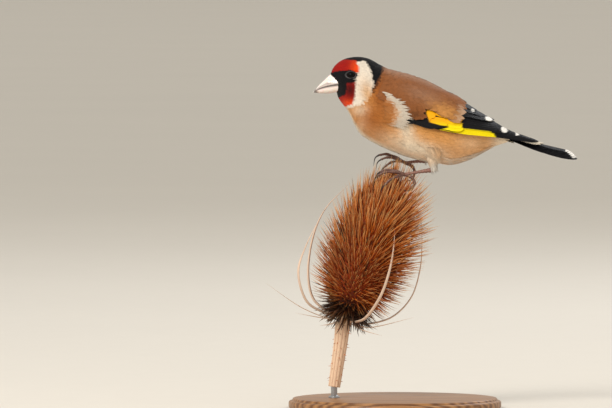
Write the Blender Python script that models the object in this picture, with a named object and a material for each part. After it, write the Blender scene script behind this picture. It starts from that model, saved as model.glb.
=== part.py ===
"""A European goldfinch on the head of a teasel, on a plain display stand, at life size.

The bird faces -X, its left side is -Y, and +Z is up. The origin is the middle of the base's underside.
Lengths are in millimetres until a mesh is made, and meshes are in metres.
"""

import math

import bmesh
import bpy
import numpy as np
from mathutils import Vector

MM = 0.001
GAP = 0.3  # between neighbouring solids
LEFT, RIGHT = -1, 1
SIDES = {"left": LEFT, "right": RIGHT}

# The feathered body, from the bill's base to the tail's root. Each row is one section of the body:
# top x and z, bottom x and z, half width, and how far its widest part sags, as a share of half its height.
BODY_ROWS = (
    (-30.6, 156.7, -27.4, 148.1, 2.3, 0.00),
    (-28.7, 160.7, -26.4, 145.7, 3.9, 0.08),
    (-24.7, 163.9, -24.7, 143.3, 6.7, 0.16),
    (-19.0, 165.3, -22.6, 140.6, 9.1, 0.22),
    (-13.0, 164.7, -20.7, 137.0, 10.1, 0.22),
    (-7.4, 161.9, -18.9, 133.0, 11.6, 0.18),
    (-1.4, 159.1, -15.9, 128.6, 13.6, 0.14),
    (6.5, 157.0, -8.6, 124.1, 15.2, 0.10),
    (14.0, 154.4, 0.4, 120.1, 15.6, 0.06),
    (21.5, 150.6, 9.5, 117.1, 15.0, 0.04),
    (28.5, 146.0, 18.5, 115.4, 13.4, 0.02),
    (35.0, 140.8, 27.5, 115.0, 10.9, 0.00),
    (41.5, 136.0, 36.0, 117.6, 8.0, 0.00),
    (48.0, 131.8, 44.5, 122.2, 5.2, 0.00),
    (54.0, 128.6, 52.5, 125.1, 3.4, 0.00),
)
NECK_FRONT, NECK_REAR, TAIL_ROOT = 4.3, 6.0, 14.0
SPLIT = 0.045  # of a row, which keeps about GAP between two parts of the body

# The sheet that the folded wings lie on. It leaves the body where the rump narrows.
WING_FIRST_ROW = 5
WING_ROWS = BODY_ROWS[WING_FIRST_ROW:10] + (
    (28.5, 146.5, 18.8, 115.8, 14.1, 0.02),
    (35.0, 141.9, 28.0, 116.2, 12.6, 0.00),
    (42.0, 137.6, 37.5, 118.4, 10.6, 0.00),
    (50.0, 133.8, 48.0, 120.6, 8.2, 0.00),
    (58.5, 130.0, 57.8, 122.2, 5.8, 0.00),
    (67.0, 126.4, 66.9, 123.4, 3.0, 0.00),
)


def between(rows, place):
    """The rows read at a place between them, on one smooth curve through all of them."""
    rows = np.asarray(rows, float)
    place = np.asarray(place, float)
    last = len(rows) - 1
    first = np.clip(np.floor(place).astype(int), 0, last - 1)
    share = (place - first)[..., None]
    ends = np.vstack([2 * rows[0] - rows[1], rows, 2 * rows[-1] - rows[-2]])
    before, start, end, after = (ends[first + step] for step in range(4))
    return start + 0.5 * share * (
        end - before
        + share * (2 * before - 5 * start + 4 * end - after
                   + share * (3 * (start - end) + after - before))
    )


class Sheet:
    """A surface through sections that stand across the bird's mid-plane."""

    def __init__(self, rows, first_row=0):
        self.rows = rows
        self.first_row = first_row

    def bare(self, row, angle, side):
        section = between(self.rows, row - self.first_row)
        top_x, top_z, low_x, low_z, wide, sag = np.moveaxis(section, -1, 0)
        angle = np.radians(angle)
        high = np.cos(angle) - sag * np.sin(angle) ** 2
        x = (top_x + low_x) / 2 + high * (top_x - low_x) / 2
        z = (top_z + low_z) / 2 + high * (top_z - low_z) / 2
        return np.stack([x, side * wide * np.sin(angle), z], -1)

    def slopes(self, row, angle, side):
        """How the surface runs with row and with angle (in degrees)."""
        step_row, step_angle = 0.02, 0.5
        along = self.bare(row + step_row, angle, side) - self.bare(row - step_row, angle, side)
        around = self.bare(row, angle + step_angle, side) - self.bare(row, angle - step_angle, side)
        return along / (2 * step_row), around / (2 * step_angle)

    def normal(self, row, angle, side):
        along, around = self.slopes(row, angle, side)
        out = np.cross(along, around) * side
        return out / np.maximum(np.linalg.norm(out, axis=-1, keepdims=True), 1e-9)

    def point(self, row, angle, side=RIGHT, lift=0.0):
        """The point at a row and at an angle from the top, lifted off the surface."""
        row, angle = np.broadcast_arrays(np.asarray(row, float), np.asarray(angle, float))
        return self.bare(row, angle, side) + np.asarray(lift)[..., None] * self.normal(row, angle, side)

    def row_at(self, x, z):
        """The row whose section passes through a point of the mid-plane."""
        low, high = float(self.first_row), float(self.first_row + len(self.rows) - 1)
        for _ in range(40):
            row = (low + high) / 2
            top_x, top_z, low_x, low_z = between(self.rows, row - self.first_row)[:4]
            ahead = (low_x - top_x) * (z - top_z) - (low_z - top_z) * (x - top_x)
            low, high = (row, high) if ahead > 0 else (low, row)
        return row

    def inside(self, point, margin=0.0):
        x, y, z = point
        row = self.row_at(x, z)
        top_x, top_z, low_x, low_z, wide, _ = between(self.rows, row - self.first_row)
        half = math.hypot(top_x - low_x, top_z - low_z) / 2
        off = math.hypot(x - (top_x + low_x) / 2, z - (top_z + low_z) / 2)
        edge_row = row <= self.first_row + 0.01 or row >= self.first_row + len(self.rows) - 1.01
        return not edge_row and (off / (half + margin)) ** 2 + (y / (wide + margin)) ** 2 < 1


BODY = Sheet(BODY_ROWS)
WING = Sheet(WING_ROWS, WING_FIRST_ROW)


def material(name, colour, roughness=0.7):
    made = bpy.data.materials.new(name)
    made.use_nodes = True
    shader = made.node_tree.nodes["Principled BSDF"]
    shader.inputs["Base Color"].default_value = (*colour, 1)
    shader.inputs["Roughness"].default_value = roughness
    return made


def volume_of(points, faces):
    corners = [points[list(face[:3])] for face in faces]
    total = 0.0
    for face, (a, b, c) in zip(faces, corners):
        total += np.dot(a, np.cross(b, c))
        for k in range(2, len(face) - 1):
            total += np.dot(a, np.cross(points[face[k]], points[face[k + 1]]))
    return total


def solid(name, points, faces, look=None):
    """A mesh object from points in millimetres, with its faces turned to point out."""
    points = np.asarray(points, float)
    if volume_of(points, faces) < 0:
        faces = [tuple(reversed(face)) for face in faces]
    mesh = bpy.data.meshes.new(name)
    mesh.from_pydata((points * MM).tolist(), [], faces)
    mesh.validate()
    if look:
        mesh.materials.append(look)
    made = bpy.data.objects.new(name, mesh)
    bpy.context.scene.collection.objects.link(made)
    return made


def rings_solid(name, rings, look=None):
    """A closed solid through rings of points. A ring of one point makes a pointed end."""
    points, starts = [], []
    for ring in rings:
        starts.append(len(points))
        points.extend(ring)
    faces = []
    for (here, a), (there, b) in zip(zip(rings, starts), zip(rings[1:], starts[1:])):
        count = max(len(here), len(there))
        for k in range(count):
            n = (k + 1) % count
            if len(there) == 1:
                faces.append((a + k, a + n, b))
            elif len(here) == 1:
                faces.append((a, b + n, b + k))
            else:
                faces.append((a + k, a + n, b + k))
                faces.append((a + n, b + n, b + k))
    for ring, start, forward in ((rings[0], starts[0], False), (rings[-1], starts[-1], True)):
        if len(ring) < 3:
            continue
        middle = len(points)
        points.append(np.mean(ring, axis=0))
        for k in range(len(ring)):
            n = (k + 1) % len(ring)
            faces.append((start + k, start + n, middle) if forward else (start + n, start + k, middle))
    return solid(name, points, faces, look)


def frames_along(path):
    """Unit tangents of a path and two steady directions across it."""
    path = np.asarray(path, float)
    tangents = np.gradient(path, axis=0)
    tangents /= np.linalg.norm(tangents, axis=1, keepdims=True)
    start = np.array((0.0, 0.0, 1.0)) if abs(tangents[0][2]) < 0.9 else np.array((1.0, 0.0, 0.0))
    across = []
    for tangent in tangents:
        start = start - tangent * np.dot(start, tangent)
        start = start / np.linalg.norm(start)
        across.append(start)
    across = np.array(across)
    return tangents, across, np.cross(tangents, across)


def smooth_path(knots, count):
    """Points evenly placed on a smooth curve through the knots."""
    return between(knots, np.linspace(0, len(knots) - 1, count))


def tube(name, path, radii, sides, look=None, flat=1.0, turn=0.0, pointed=False):
    """A closed tube round a path. flat is its thickness across as a share of its width."""
    _, across, other = frames_along(path)
    angles = np.radians(turn) + np.arange(sides) * 2 * math.pi / sides
    rings = [
        [p + r * (math.cos(a) * u * flat + math.sin(a) * w) for a in angles]
        for p, r, u, w in zip(path, radii, across, other)
    ]
    if pointed:
        rings[-1] = [path[-1]]
    return rings_solid(name, rings, look)


def ball(name, centre, radii, look=None, around=16, rows=8):
    """A closed ellipsoid."""
    rings = []
    for step in range(rows + 1):
        down = math.pi * step / rows
        if step in (0, rows):
            rings.append([np.array(centre) + (0, 0, radii[2] * math.cos(down))])
            continue
        rings.append([
            np.array(centre) + (
                radii[0] * math.sin(down) * math.cos(2 * math.pi * k / around),
                radii[1] * math.sin(down) * math.sin(2 * math.pi * k / around),
                radii[2] * math.cos(down),
            )
            for k in range(around)
        ])
    return rings_solid(name, rings, look)


def keep_largest(made):
    """Keeps only the largest closed surface of a mesh."""
    mesh = bmesh.new()
    mesh.from_mesh(made.data)
    left, shells = set(mesh.verts), []
    while left:
        shell, edge = set(), [left.pop()]
        while edge:
            vertex = edge.pop()
            shell.add(vertex)
            for link in vertex.link_edges:
                other = link.other_vert(vertex)
                if other in left:
                    left.discard(other)
                    edge.append(other)
        shells.append(shell)

    def room(shell):
        spots = np.array([v.co for v in shell])
        return float(np.prod(np.ptp(spots, axis=0) + 1e-6))

    largest = max(shells, key=room)
    dropped = [v for v in mesh.verts if v not in largest]
    bmesh.ops.delete(mesh, geom=dropped, context="VERTS")
    bmesh.ops.triangulate(mesh, faces=mesh.faces)
    mesh.to_mesh(made.data)
    mesh.free()


def boolean(target, others, operation, solver="MANIFOLD"):
    """Joins objects to the target, or cuts them from it, and removes them."""
    group = bpy.data.collections.new("pieces")
    bpy.context.scene.collection.children.link(group)
    for other in others:
        group.objects.link(other)
    change = target.modifiers.new("pieces", "BOOLEAN")
    change.operation = operation
    change.operand_type = "COLLECTION"
    change.collection = group
    change.solver = solver
    graph = bpy.context.evaluated_depsgraph_get()
    mesh = bpy.data.meshes.new_from_object(target.evaluated_get(graph))
    target.modifiers.clear()
    target.data = mesh
    for other in others:
        bpy.data.objects.remove(other)
    bpy.data.collections.remove(group)
    keep_largest(target)


def finish(made, look, smooth_degrees=40):
    made.data.materials.clear()
    made.data.materials.append(look)
    made.data.shade_smooth()
    made.data.set_sharp_from_angle(angle=math.radians(smooth_degrees))
    return made


def body_loft(name, first, last, around, step=0.5, lift=0.0):
    """A length of the body between two rows, closed by flat ends."""
    count = max(2, round((last - first) / step)) + 1
    angles = np.arange(around) * 360 / around
    rings = [BODY.point(np.full(around, row), angles, RIGHT, np.full(around, lift))
             for row in np.linspace(first, last, count)]
    return rings_solid(name, rings)


EYE_X, EYE_Z = -20.8, 157.0
EYE_RADIUS = 2.2
EYE_SINK = 1.35  # of the eyeball's middle, under the face
LID_RING, LID_THICK = 2.1, 0.36


def eye_seat(side):
    """The point on the face at the eye's middle, and the way out of the head there."""
    row = BODY.row_at(EYE_X, EYE_Z)
    top_x, top_z, low_x, low_z, _, sag = between(BODY_ROWS, row)
    high = ((EYE_Z - (top_z + low_z) / 2)) / ((top_z - low_z) / 2)
    angle = 60.0
    for _ in range(30):
        reach = math.cos(math.radians(angle)) - sag * math.sin(math.radians(angle)) ** 2
        angle += (reach - high) * 20
    out = BODY.normal(np.array(row), np.array(angle), side) + (0.0, side * 0.8, 0.0)
    return BODY.point(row, angle, side), out / np.linalg.norm(out)


def ring_round(name, centre, out, radius, thick, around=14, sides=5):
    """A closed ring, such as the rim of an eyelid."""
    out = np.asarray(out) / np.linalg.norm(out)
    first = np.cross(out, (0.0, 0.0, 1.0))
    first /= np.linalg.norm(first)
    second = np.cross(out, first)
    points, faces = [], []
    for k in range(around):
        turn = 2 * math.pi * k / around
        spoke = first * math.cos(turn) + second * math.sin(turn)
        for m in range(sides):
            roll = 2 * math.pi * m / sides
            points.append(centre + spoke * (radius + thick * math.cos(roll)) + out * thick * math.sin(roll))
            a, b = k * sides + m, k * sides + (m + 1) % sides
            c, d = ((k + 1) % around) * sides + m, ((k + 1) % around) * sides + (m + 1) % sides
            faces += [(a, b, c), (b, d, c)]
    return solid(name, points, faces)


def make_head(look):
    head = body_loft("head", 0.0, NECK_FRONT - SPLIT, 26, 0.39)
    lids, sockets = [], []
    for name, side in SIDES.items():
        seat, out = eye_seat(side)
        lids.append(ring_round("lid_" + name, seat + out * 0.05, out, LID_RING, LID_THICK))
        radius = EYE_RADIUS + GAP
        sockets.append(ball("socket_" + name, seat - out * EYE_SINK, (radius,) * 3, around=14, rows=8))
    boolean(head, lids, "UNION")
    room = [mandible("room_over", CULMEN, GAP), mandible("room_under", GONYS, GAP)]
    boolean(head, sockets + room, "DIFFERENCE")
    return finish(head, look)


def make_eyes(look):
    for name, side in SIDES.items():
        seat, out = eye_seat(side)
        finish(ball("eye_" + name, seat - out * EYE_SINK, (EYE_RADIUS,) * 3, around=14, rows=8), look)


# The bill in the mid-plane, from its base to its tip. Its sides reach further back, to the mouth's corners.
CULMEN = ((-30.9, 156.6), (-33.5, 154.2), (-36.1, 151.6), (-38.5, 148.6))
MOUTH_LINE = ((-29.0, 152.5), (-32.2, 151.5), (-35.5, 150.4), (-38.3, 148.75))
GONYS = ((-28.4, 148.5), (-31.6, 148.1), (-34.8, 148.2), (-37.6, 148.55))
BILL_HALF_WIDTHS = ((3.9,), (2.9,), (1.75,), (0.35,))
CORNER_BACK, CORNER_WIDER = 3.5, 0.8
UNDER_SLIMMER = 0.93
NOSTRIL_SHARE, NOSTRIL_TURN, NOSTRIL_RADII = 0.36, 38, (0.6, 0.45, 0.4)


def bill_point(edge, share, turn):
    """A point on a mandible. turn leads from its left edge over its ridge to its right edge."""
    upper = edge is CULMEN
    edge_x, edge_z = between(edge, share)
    mouth_x, mouth_z = between(MOUTH_LINE, share)
    mouth_z += GAP / 2 if upper else -GAP / 2
    corner = max(0.0, 1.0 - share / 1.5) ** 2  # how much this place belongs to the corners of the mouth
    half = float(between(BILL_HALF_WIDTHS, share)[0]) * (1.0 if upper else UNDER_SLIMMER)
    half += CORNER_WIDER * corner
    rise = math.sin(turn) ** 0.9
    back = CORNER_BACK * corner * (1 - rise if upper else abs(math.cos(turn)) ** 1.5)
    return np.array((mouth_x + (edge_x - mouth_x) * rise + back, -half * math.cos(turn),
                     mouth_z + (edge_z - mouth_z) * rise))


def mandible(name, edge, swell=0.0):
    """Half of the bill: an arch on the given edge, closed along the line of the mouth."""
    arch_points, ring_count = 7, 7
    made = []
    for share in np.linspace(0, len(edge) - 1, ring_count):
        ring = [bill_point(edge, share, math.pi * k / (arch_points - 1)) for k in range(arch_points)]
        ring.append((ring[0] + ring[-1]) / 2 * (0.0, 1.0, 1.0) + (between(MOUTH_LINE, share)[0], 0.0, 0.0))
        ring = np.array(ring)
        spokes = ring - ring.mean(axis=0)
        ring += spokes / np.linalg.norm(spokes, axis=1, keepdims=True) * swell
        made.append(ring + (swell if share == 0 else 0.0, 0.0, 0.0))
    return rings_solid(name, made)


def make_bill(look):
    upper = mandible("bill_upper", CULMEN)
    pits = []
    for name, side in SIDES.items():
        turn = math.radians(90 + side * NOSTRIL_TURN)
        spot = bill_point(CULMEN, NOSTRIL_SHARE, turn)
        pits.append(ball("nostril_" + name, spot, NOSTRIL_RADII, around=8, rows=6))
    boolean(upper, pits, "DIFFERENCE")
    finish(upper, look)
    finish(mandible("bill_lower", GONYS), look)


def make_neck(look):
    return finish(body_loft("neck", NECK_FRONT, NECK_REAR - SPLIT, 30, 0.425), look)


def make_torso(look):
    return finish(body_loft("torso", NECK_REAR, TAIL_ROOT, 28, 0.57), look)


def plate(name, lower, upper):
    """A closed plate between two like grids of points, split into triangles alike on both faces."""
    rows, columns = lower.shape[:2]
    points = np.concatenate([lower.reshape(-1, 3), upper.reshape(-1, 3)])
    shift = rows * columns
    faces = []
    for i in range(rows - 1):
        for j in range(columns - 1):
            a, b = i * columns + j, i * columns + j + 1
            c, d = a + columns, b + columns
            faces += [(a, c, b), (b, c, d)]
            faces += [(a + shift, b + shift, c + shift), (b + shift, d + shift, c + shift)]
    rim = [(0, j) for j in range(columns)] + [(i, columns - 1) for i in range(1, rows)]
    rim += [(rows - 1, j) for j in range(columns - 2, -1, -1)] + [(i, 0) for i in range(rows - 2, 0, -1)]
    rim = [i * columns + j for i, j in rim]
    for a, b in zip(rim, rim[1:] + rim[:1]):
        faces += [(a, b, a + shift), (b, b + shift, a + shift)]
    return solid(name, points, faces)


def vane_width(along, root=0.55, round_from=0.72, tip=0.16):
    """Half width along a feather as a share of its greatest: narrow at its root, round at its tip."""
    grown = root + (1 - root) * np.sin(np.clip(along / 0.5, 0, 1) * math.pi / 2)
    past = np.clip((along - round_from) / (1 - round_from), 0, 1)
    return grown * np.maximum(np.sqrt(np.maximum(1 - past ** 2, 0)), tip)


VANE_THICK = 0.5


def vane(name, sheet, side, root, tip, width, lift, tilt, segments, point=0.16):
    """A feather on a sheet, from a root to a tip that are each (row, angle).

    lift is its height off the sheet at root and tip. tilt raises its lower edge, as a share of its half
    width.
    """
    along = np.linspace(0, 1, segments + 1) ** 0.8
    row = root[0] + (tip[0] - root[0]) * along
    angle = root[1] + (tip[1] - root[1]) * along
    by_row, by_angle = sheet.slopes(row, angle, side)
    run = by_row * (tip[0] - root[0]) + by_angle * (tip[1] - root[1])
    run /= np.linalg.norm(run, axis=1, keepdims=True)
    across = np.cross(sheet.normal(row, angle, side), run)
    across *= np.sign((across * by_angle).sum(1, keepdims=True))
    half = vane_width(along, tip=point) * width / 2
    height = lift[0] + (lift[1] - lift[0]) * along
    lower, upper = [], []
    for v in (-1.0, 1.0):
        # the shift across the feather, as a shift in row and in angle
        shift = across * (half * v)[:, None]
        moves = np.array([
            np.linalg.lstsq(np.stack([a, b], 1), step, rcond=None)[0]
            for a, b, step in zip(by_row, by_angle, shift)
        ])
        rise = height + tilt * half * v
        lower.append(sheet.point(row + moves[:, 0], angle + moves[:, 1], side, rise))
        upper.append(sheet.point(row + moves[:, 0], angle + moves[:, 1], side, rise + VANE_THICK))
    return plate(name, np.stack(lower, 1), np.stack(upper, 1))


# The wing's covert pad, in rows and angles of the wing sheet
PAD_ROWS, PAD_ANGLES = (7.45, 10.3), (40.0, 97.0)
PAD_THICK = 0.9
WING_LIFT = GAP + 0.05
SHINGLE = 0.2  # tilt of the overlapping feathers


def wing_pad(name, side):
    """The padded fore part of the folded wing, from which its feathers grow."""
    grid_rows, grid_columns = 8, 7
    lower, upper = [], []
    for i in range(grid_rows):
        u = i / (grid_rows - 1)
        lower_line, upper_line = [], []
        for j in range(grid_columns):
            v = j / (grid_columns - 1)
            row = PAD_ROWS[0] + (PAD_ROWS[1] - PAD_ROWS[0]) * u + 0.35 * (2 * v - 1) ** 2 * (1 - u)
            start = PAD_ANGLES[0] + 16 * (1 - u) ** 2
            angle = start + (PAD_ANGLES[1] - start) * v
            swell = (1 - (2 * u - 1) ** 4) ** 0.5 * (1 - (2 * v - 1) ** 4) ** 0.5
            lower_line.append(WING.point(row, angle, side, WING_LIFT))
            upper_line.append(WING.point(row, angle, side, WING_LIFT + 0.3 + PAD_THICK * swell))
        lower.append(lower_line)
        upper.append(upper_line)
    return plate(name, np.array(lower), np.array(upper))


# Each tier: its count of feathers, the roots of the first and the last of them and then their tips as
# (row, angle), their widths, and the tier's lift at root and tip and its segments
TIERS = {
    "primary": (5, ((9.8, 92.0), (9.7, 84.0)), ((15.05, 80.0), (13.2, 64.0)), (3.9, 5.0), (0.6, 0.55), 4),
    "secondary": (4, ((9.7, 82.0), (9.5, 66.0)), ((13.05, 68.0), (12.7, 52.0)), (5.2, 5.2), (0.7, 0.75), 3),
    "tertial": (3, ((9.4, 58.0), (9.2, 30.0)), ((12.85, 42.0), (11.7, 13.5)), (6.4, 6.0), (0.85, 1.05), 3),
    "greater_covert": (
        5, ((9.2, 91.0), (9.1, 47.0)), ((11.0, 89.0), (10.5, 40.0)), (5.6, 5.6), (1.1, 1.25), 2,
    ),
    "primary_covert": (
        2, ((8.4, 95.5), (8.4, 91.0)), ((10.4, 95.0), (10.2, 89.0)), (3.2, 3.2), (1.2, 1.45), 2,
    ),
    "lesser_covert": (3, ((7.7, 86.0), (7.8, 60.0)), ((9.0, 88.0), (9.0, 48.0)), (7.4, 7.4), (0.8, 1.4), 2),
    "median_covert": (4, ((8.6, 87.0), (8.6, 50.0)), ((9.7, 86.0), (9.6, 45.0)), (6.2, 6.2), (1.25, 1.6), 2),
}


def make_wing(side_name, look):
    side = SIDES[side_name]
    wing = wing_pad("wing_" + side_name, side)
    pieces = []
    for tier, (count, roots, tips, widths, lifts, segments) in TIERS.items():
        for k in range(count):
            share = k / (count - 1)
            # the longest primaries lie closest together
            tip_share = share ** 1.4 if tier == "primary" else share
            root = np.add(roots[0], np.subtract(roots[1], roots[0]) * share)
            tip = np.add(tips[0], np.subtract(tips[1], tips[0]) * (tip_share, share))
            width = widths[0] + (widths[1] - widths[0]) * share
            pieces.append(vane(f"{tier}_{k}", WING, side, root, tip, width, lifts, SHINGLE, segments))
    boolean(wing, pieces, "UNION")
    return finish(wing, look, 30)


# The tail: a closed fan of feathers that droops to its sides. x and z of its root and tips, then half widths
TAIL_START, TAIL_END = (54.35, 127.4), (85.8, 120.2)
TAIL_HALF_WIDTHS = (2.6, 5.4)
TAIL_DROOP = (0.3, 3.2)
TAIL_PAIRS = 6
TAIL_FORK = 4.2  # by which the middle feathers end before the outer ones
RECTRIX_WIDTH = 5.0
TAIL_LAYER = 0.27


def tail_point(along, across, lift):
    """A point of the tail's sheet. along is 0 at its root and 1 at the tips, across is -1 to 1."""
    x = TAIL_START[0] + (TAIL_END[0] - TAIL_START[0]) * along
    z = TAIL_START[1] + (TAIL_END[1] - TAIL_START[1]) * along
    half = TAIL_HALF_WIDTHS[0] + (TAIL_HALF_WIDTHS[1] - TAIL_HALF_WIDTHS[0]) * along
    droop = TAIL_DROOP[0] + (TAIL_DROOP[1] - TAIL_DROOP[0]) * along
    return np.array((x + 0.27 * lift, half * across, z - droop * abs(across) ** 1.7 + 0.96 * lift))


def make_tail(look):
    """The closed tail: its middle feathers lie on top, and each outer one lies under the one inside it."""
    length = math.hypot(TAIL_END[0] - TAIL_START[0], TAIL_END[1] - TAIL_START[1])
    pieces = []
    for pair in range(TAIL_PAIRS):
        for side in SIDES.values():
            share = pair / (TAIL_PAIRS - 1)
            end = 1 - TAIL_FORK / length * (1 - share) ** 1.3
            lift = -TAIL_LAYER * (pair + (0.5 if side == RIGHT else 0.0))
            lower, upper = [], []
            for part in (0.0, 0.45, 0.85, 1.0):
                half_sheet = TAIL_HALF_WIDTHS[0] + (TAIL_HALF_WIDTHS[1] - TAIL_HALF_WIDTHS[0]) * part * end
                half = RECTRIX_WIDTH / 2 * float(vane_width(np.array(part), root=0.5, round_from=0.84))
                across = [side * (0.12 + 0.55 * share) + v * half / half_sheet for v in (-1, 1)]
                lower.append([tail_point(part * end, a, lift) for a in across])
                upper.append([tail_point(part * end, a, lift + VANE_THICK) for a in across])
            pieces.append(plate(f"rectrix_{pair}_{side}", np.array(lower), np.array(upper)))
    start = np.array((TAIL_START[0], 0.0, TAIL_START[1] - 0.9))
    path = [start, start + (2.5, 0, -0.7), start + (7.0, 0, -2.4)]
    root = tube("tail", path, (2.2, 2.0, 0.9), 12, flat=0.75)
    boolean(root, pieces, "UNION")
    return finish(root, look, 30)


# Legs: the thigh's axis, the shank from heel to foot joint, and each toe's middle line with its claw's
LEGS = {
    "left": {
        "thigh": ((15.6, -5.8, 123.5), (17.3, -6.4, 118.5), (18.0, -7.1, 114.0)),
        "shank": ((17.8, -7.0, 112.4), (11.4, -6.8, 111.5), (6.4, -6.6, 110.6)),
        "foot": (4.7, -6.5, 110.2),
        "toes": {
            "middle": ((-0.5, -7.0, 111.4), (-4.8, -7.0, 111.3), (-8.0, -6.6, 109.7)),
            "outer": ((0.9, -9.2, 109.5), (-2.6, -10.6, 107.7), (-5.2, -10.9, 105.2)),
            "inner": ((0.4, -4.4, 111.8), (-4.0, -3.4, 112.3), (-7.2, -2.8, 111.2)),
            "hind": ((7.7, -7.0, 108.9), (9.1, -7.4, 106.4), (8.0, -7.6, 104.0)),
        },
        "claws": {
            "middle": ((-9.6, -6.4, 108.2), (-10.2, -6.2, 105.2)),
            "outer": ((-6.3, -11.0, 103.5), (-6.5, -10.8, 100.8)),
            "inner": ((-8.8, -2.5, 109.8), (-9.6, -2.3, 107.2)),
            "hind": ((6.3, -7.7, 102.6), (1.6, -7.4, 103.2)),
        },
    },
    "right": {
        "thigh": ((12.7, 7.2, 124.0), (14.3, 7.3, 120.8), (14.9, 7.3, 117.9)),
        "shank": ((14.8, 7.0, 116.3), (10.5, 6.4, 116.0), (6.9, 5.8, 115.6)),
        "foot": (5.1, 5.6, 115.3),
        "toes": {
            "middle": ((0.8, 5.8, 117.8), (-3.8, 5.6, 119.4), (-7.4, 5.2, 119.0)),
            "outer": ((1.8, 8.4, 116.0), (-1.8, 9.8, 115.4), (-4.6, 10.2, 113.4)),
            "inner": ((0.8, 3.6, 117.2), (-3.4, 2.4, 118.0), (-6.6, 1.8, 117.0)),
            "hind": ((8.2, 6.2, 113.6), (9.3, 6.8, 111.0), (8.6, 7.2, 108.4)),
        },
        "claws": {
            "middle": ((-9.3, 5.0, 117.6), (-10.1, 4.8, 113.8)),
            "outer": ((-6.0, 10.2, 111.8), (-6.6, 10.0, 109.0)),
            "inner": ((-8.2, 1.6, 115.6), (-9.0, 1.5, 112.6)),
            "hind": ((7.0, 7.4, 106.9), (2.6, 7.2, 107.2)),
        },
    },
}
THIGH_RADII = (4.8, 3.6, 1.6)
HEEL_RADIUS, SHANK_RADIUS, PAD_RADIUS = 1.15, 0.8, 1.15
TOE_RADIUS = {"middle": 0.72, "outer": 0.66, "inner": 0.66, "hind": 0.78}
TOE_RINGS, TOE_SIDES = 8, 5
CLAW_RADIUS = {"middle": 0.5, "outer": 0.45, "inner": 0.45, "hind": 0.56}


def step_from(start, towards, distance):
    """The point at a distance from one point towards another."""
    start, towards = np.asarray(start, float), np.asarray(towards, float)
    return start + (towards - start) / np.linalg.norm(towards - start) * distance


def toe_path(leg, toe):
    return [leg["foot"], *leg["toes"][toe]]


def foot_pieces(leg, name, swell=0.0):
    """The pad under the shank and the four toes, made fatter by swell."""
    made = [ball(name, leg["foot"], (PAD_RADIUS + swell,) * 3, around=9, rows=6)]
    for toe in leg["toes"]:
        path = smooth_path(toe_path(leg, toe), TOE_RINGS)
        ring = np.arange(TOE_RINGS)
        knuckles = 1 + 0.12 * np.cos(ring * 2 * math.pi / 3)
        radii = TOE_RADIUS[toe] * knuckles * np.linspace(1.05, 0.85, TOE_RINGS) + swell
        made.append(tube(f"{name}_{toe}", path, radii, TOE_SIDES))
    return made


def make_leg(side_name, looks):
    leg = LEGS[side_name]
    thigh_path = smooth_path(leg["thigh"], 7)
    radii = np.interp(np.linspace(0, 2, 7), (0, 1, 2), THIGH_RADII)
    thigh = tube("thigh_" + side_name, thigh_path, radii, 14)
    boolean(thigh, [body_loft("flank", NECK_REAR, TAIL_ROOT, 28, 0.57, GAP)], "DIFFERENCE")
    finish(thigh, looks["down"])

    shank_path = smooth_path(leg["shank"], 9)
    shank_radii = SHANK_RADIUS + (HEEL_RADIUS - SHANK_RADIUS) * (1 - np.linspace(0, 1, 9)) ** 4
    shank = tube("shank_" + side_name, shank_path, shank_radii, 8)
    boolean(shank, foot_pieces(leg, "clearance", GAP), "DIFFERENCE")
    finish(shank, looks["leg"])

    foot, *toes = foot_pieces(leg, "foot_" + side_name)
    boolean(foot, toes, "UNION")
    finish(foot, looks["leg"])

    for toe, (knee, point) in leg["claws"].items():
        tip = np.asarray(leg["toes"][toe][-1])
        start = step_from(tip, knee, GAP + 0.05)
        path = smooth_path((start, knee, point), 6)
        claw_radii = CLAW_RADIUS[toe] * np.linspace(1, 0.12, 6)
        finish(tube(f"claw_{side_name}_{toe}", path, claw_radii, 5, pointed=True), looks["claw"])


# The teasel's cone, on an axis that leans to +X
CONE_BASE, CONE_TOP = np.array((-22.9, 0.0, 44.3)), np.array((-1.6, 0.0, 108.8))
CONE_RADII = (5.2, 9.6, 12.3, 13.8, 14.4, 14.4, 14.0, 13.0, 11.2, 8.2, 0.0)
CONE_LENGTH = float(np.linalg.norm(CONE_TOP - CONE_BASE))
CONE_AXIS = (CONE_TOP - CONE_BASE) / CONE_LENGTH
CONE_ACROSS = np.array((0.0, -1.0, 0.0))
CONE_OTHER = np.cross(CONE_AXIS, CONE_ACROSS)
BRACT_FLAT = 0.4  # a bract's half thickness as a share of its half width
CONE_SIDES = 14
SPINE_COUNT = 252
SPINE_SINK = 1.1
SPINE_RADIUS = 0.85
SHORTEST_SPINE = 0.4  # a spine that the legs or the belly leave less of than this share isn't grown
SPINE_LENGTHS = ((9.0,), (12.6,), (13.4,), (13.0,), (11.0,))  # from the cone's base to its top
CONE_SKIRT = 0.6  # by which the cone reaches under its base
PRICKLE_COUNT = 10
GOLDEN_ANGLE = math.radians(137.508)


def cone_radius(share):
    return float(between([[r] for r in CONE_RADII], np.array(share * (len(CONE_RADII) - 1)))[0])


def cone_point(share, turn, lift=0.0):
    spoke = CONE_ACROSS * math.cos(turn) + CONE_OTHER * math.sin(turn)
    return CONE_BASE + CONE_AXIS * CONE_LENGTH * share + spoke * (cone_radius(share) + lift)


def cone_normal(share, turn):
    spoke = CONE_ACROSS * math.cos(turn) + CONE_OTHER * math.sin(turn)
    slope = (cone_radius(min(share + 0.01, 1)) - cone_radius(max(share - 0.01, 0))) / (0.02 * CONE_LENGTH)
    out = spoke - CONE_AXIS * slope
    return out / np.linalg.norm(out)


STEM_END = np.array((-28.6, 0.0, 10.2))
STEM_RADII = (2.75, 3.7)
STEM_RIDGES = 7
COLLAR_RADIUS, COLLAR_LENGTH = 4.6, 4.6


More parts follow.
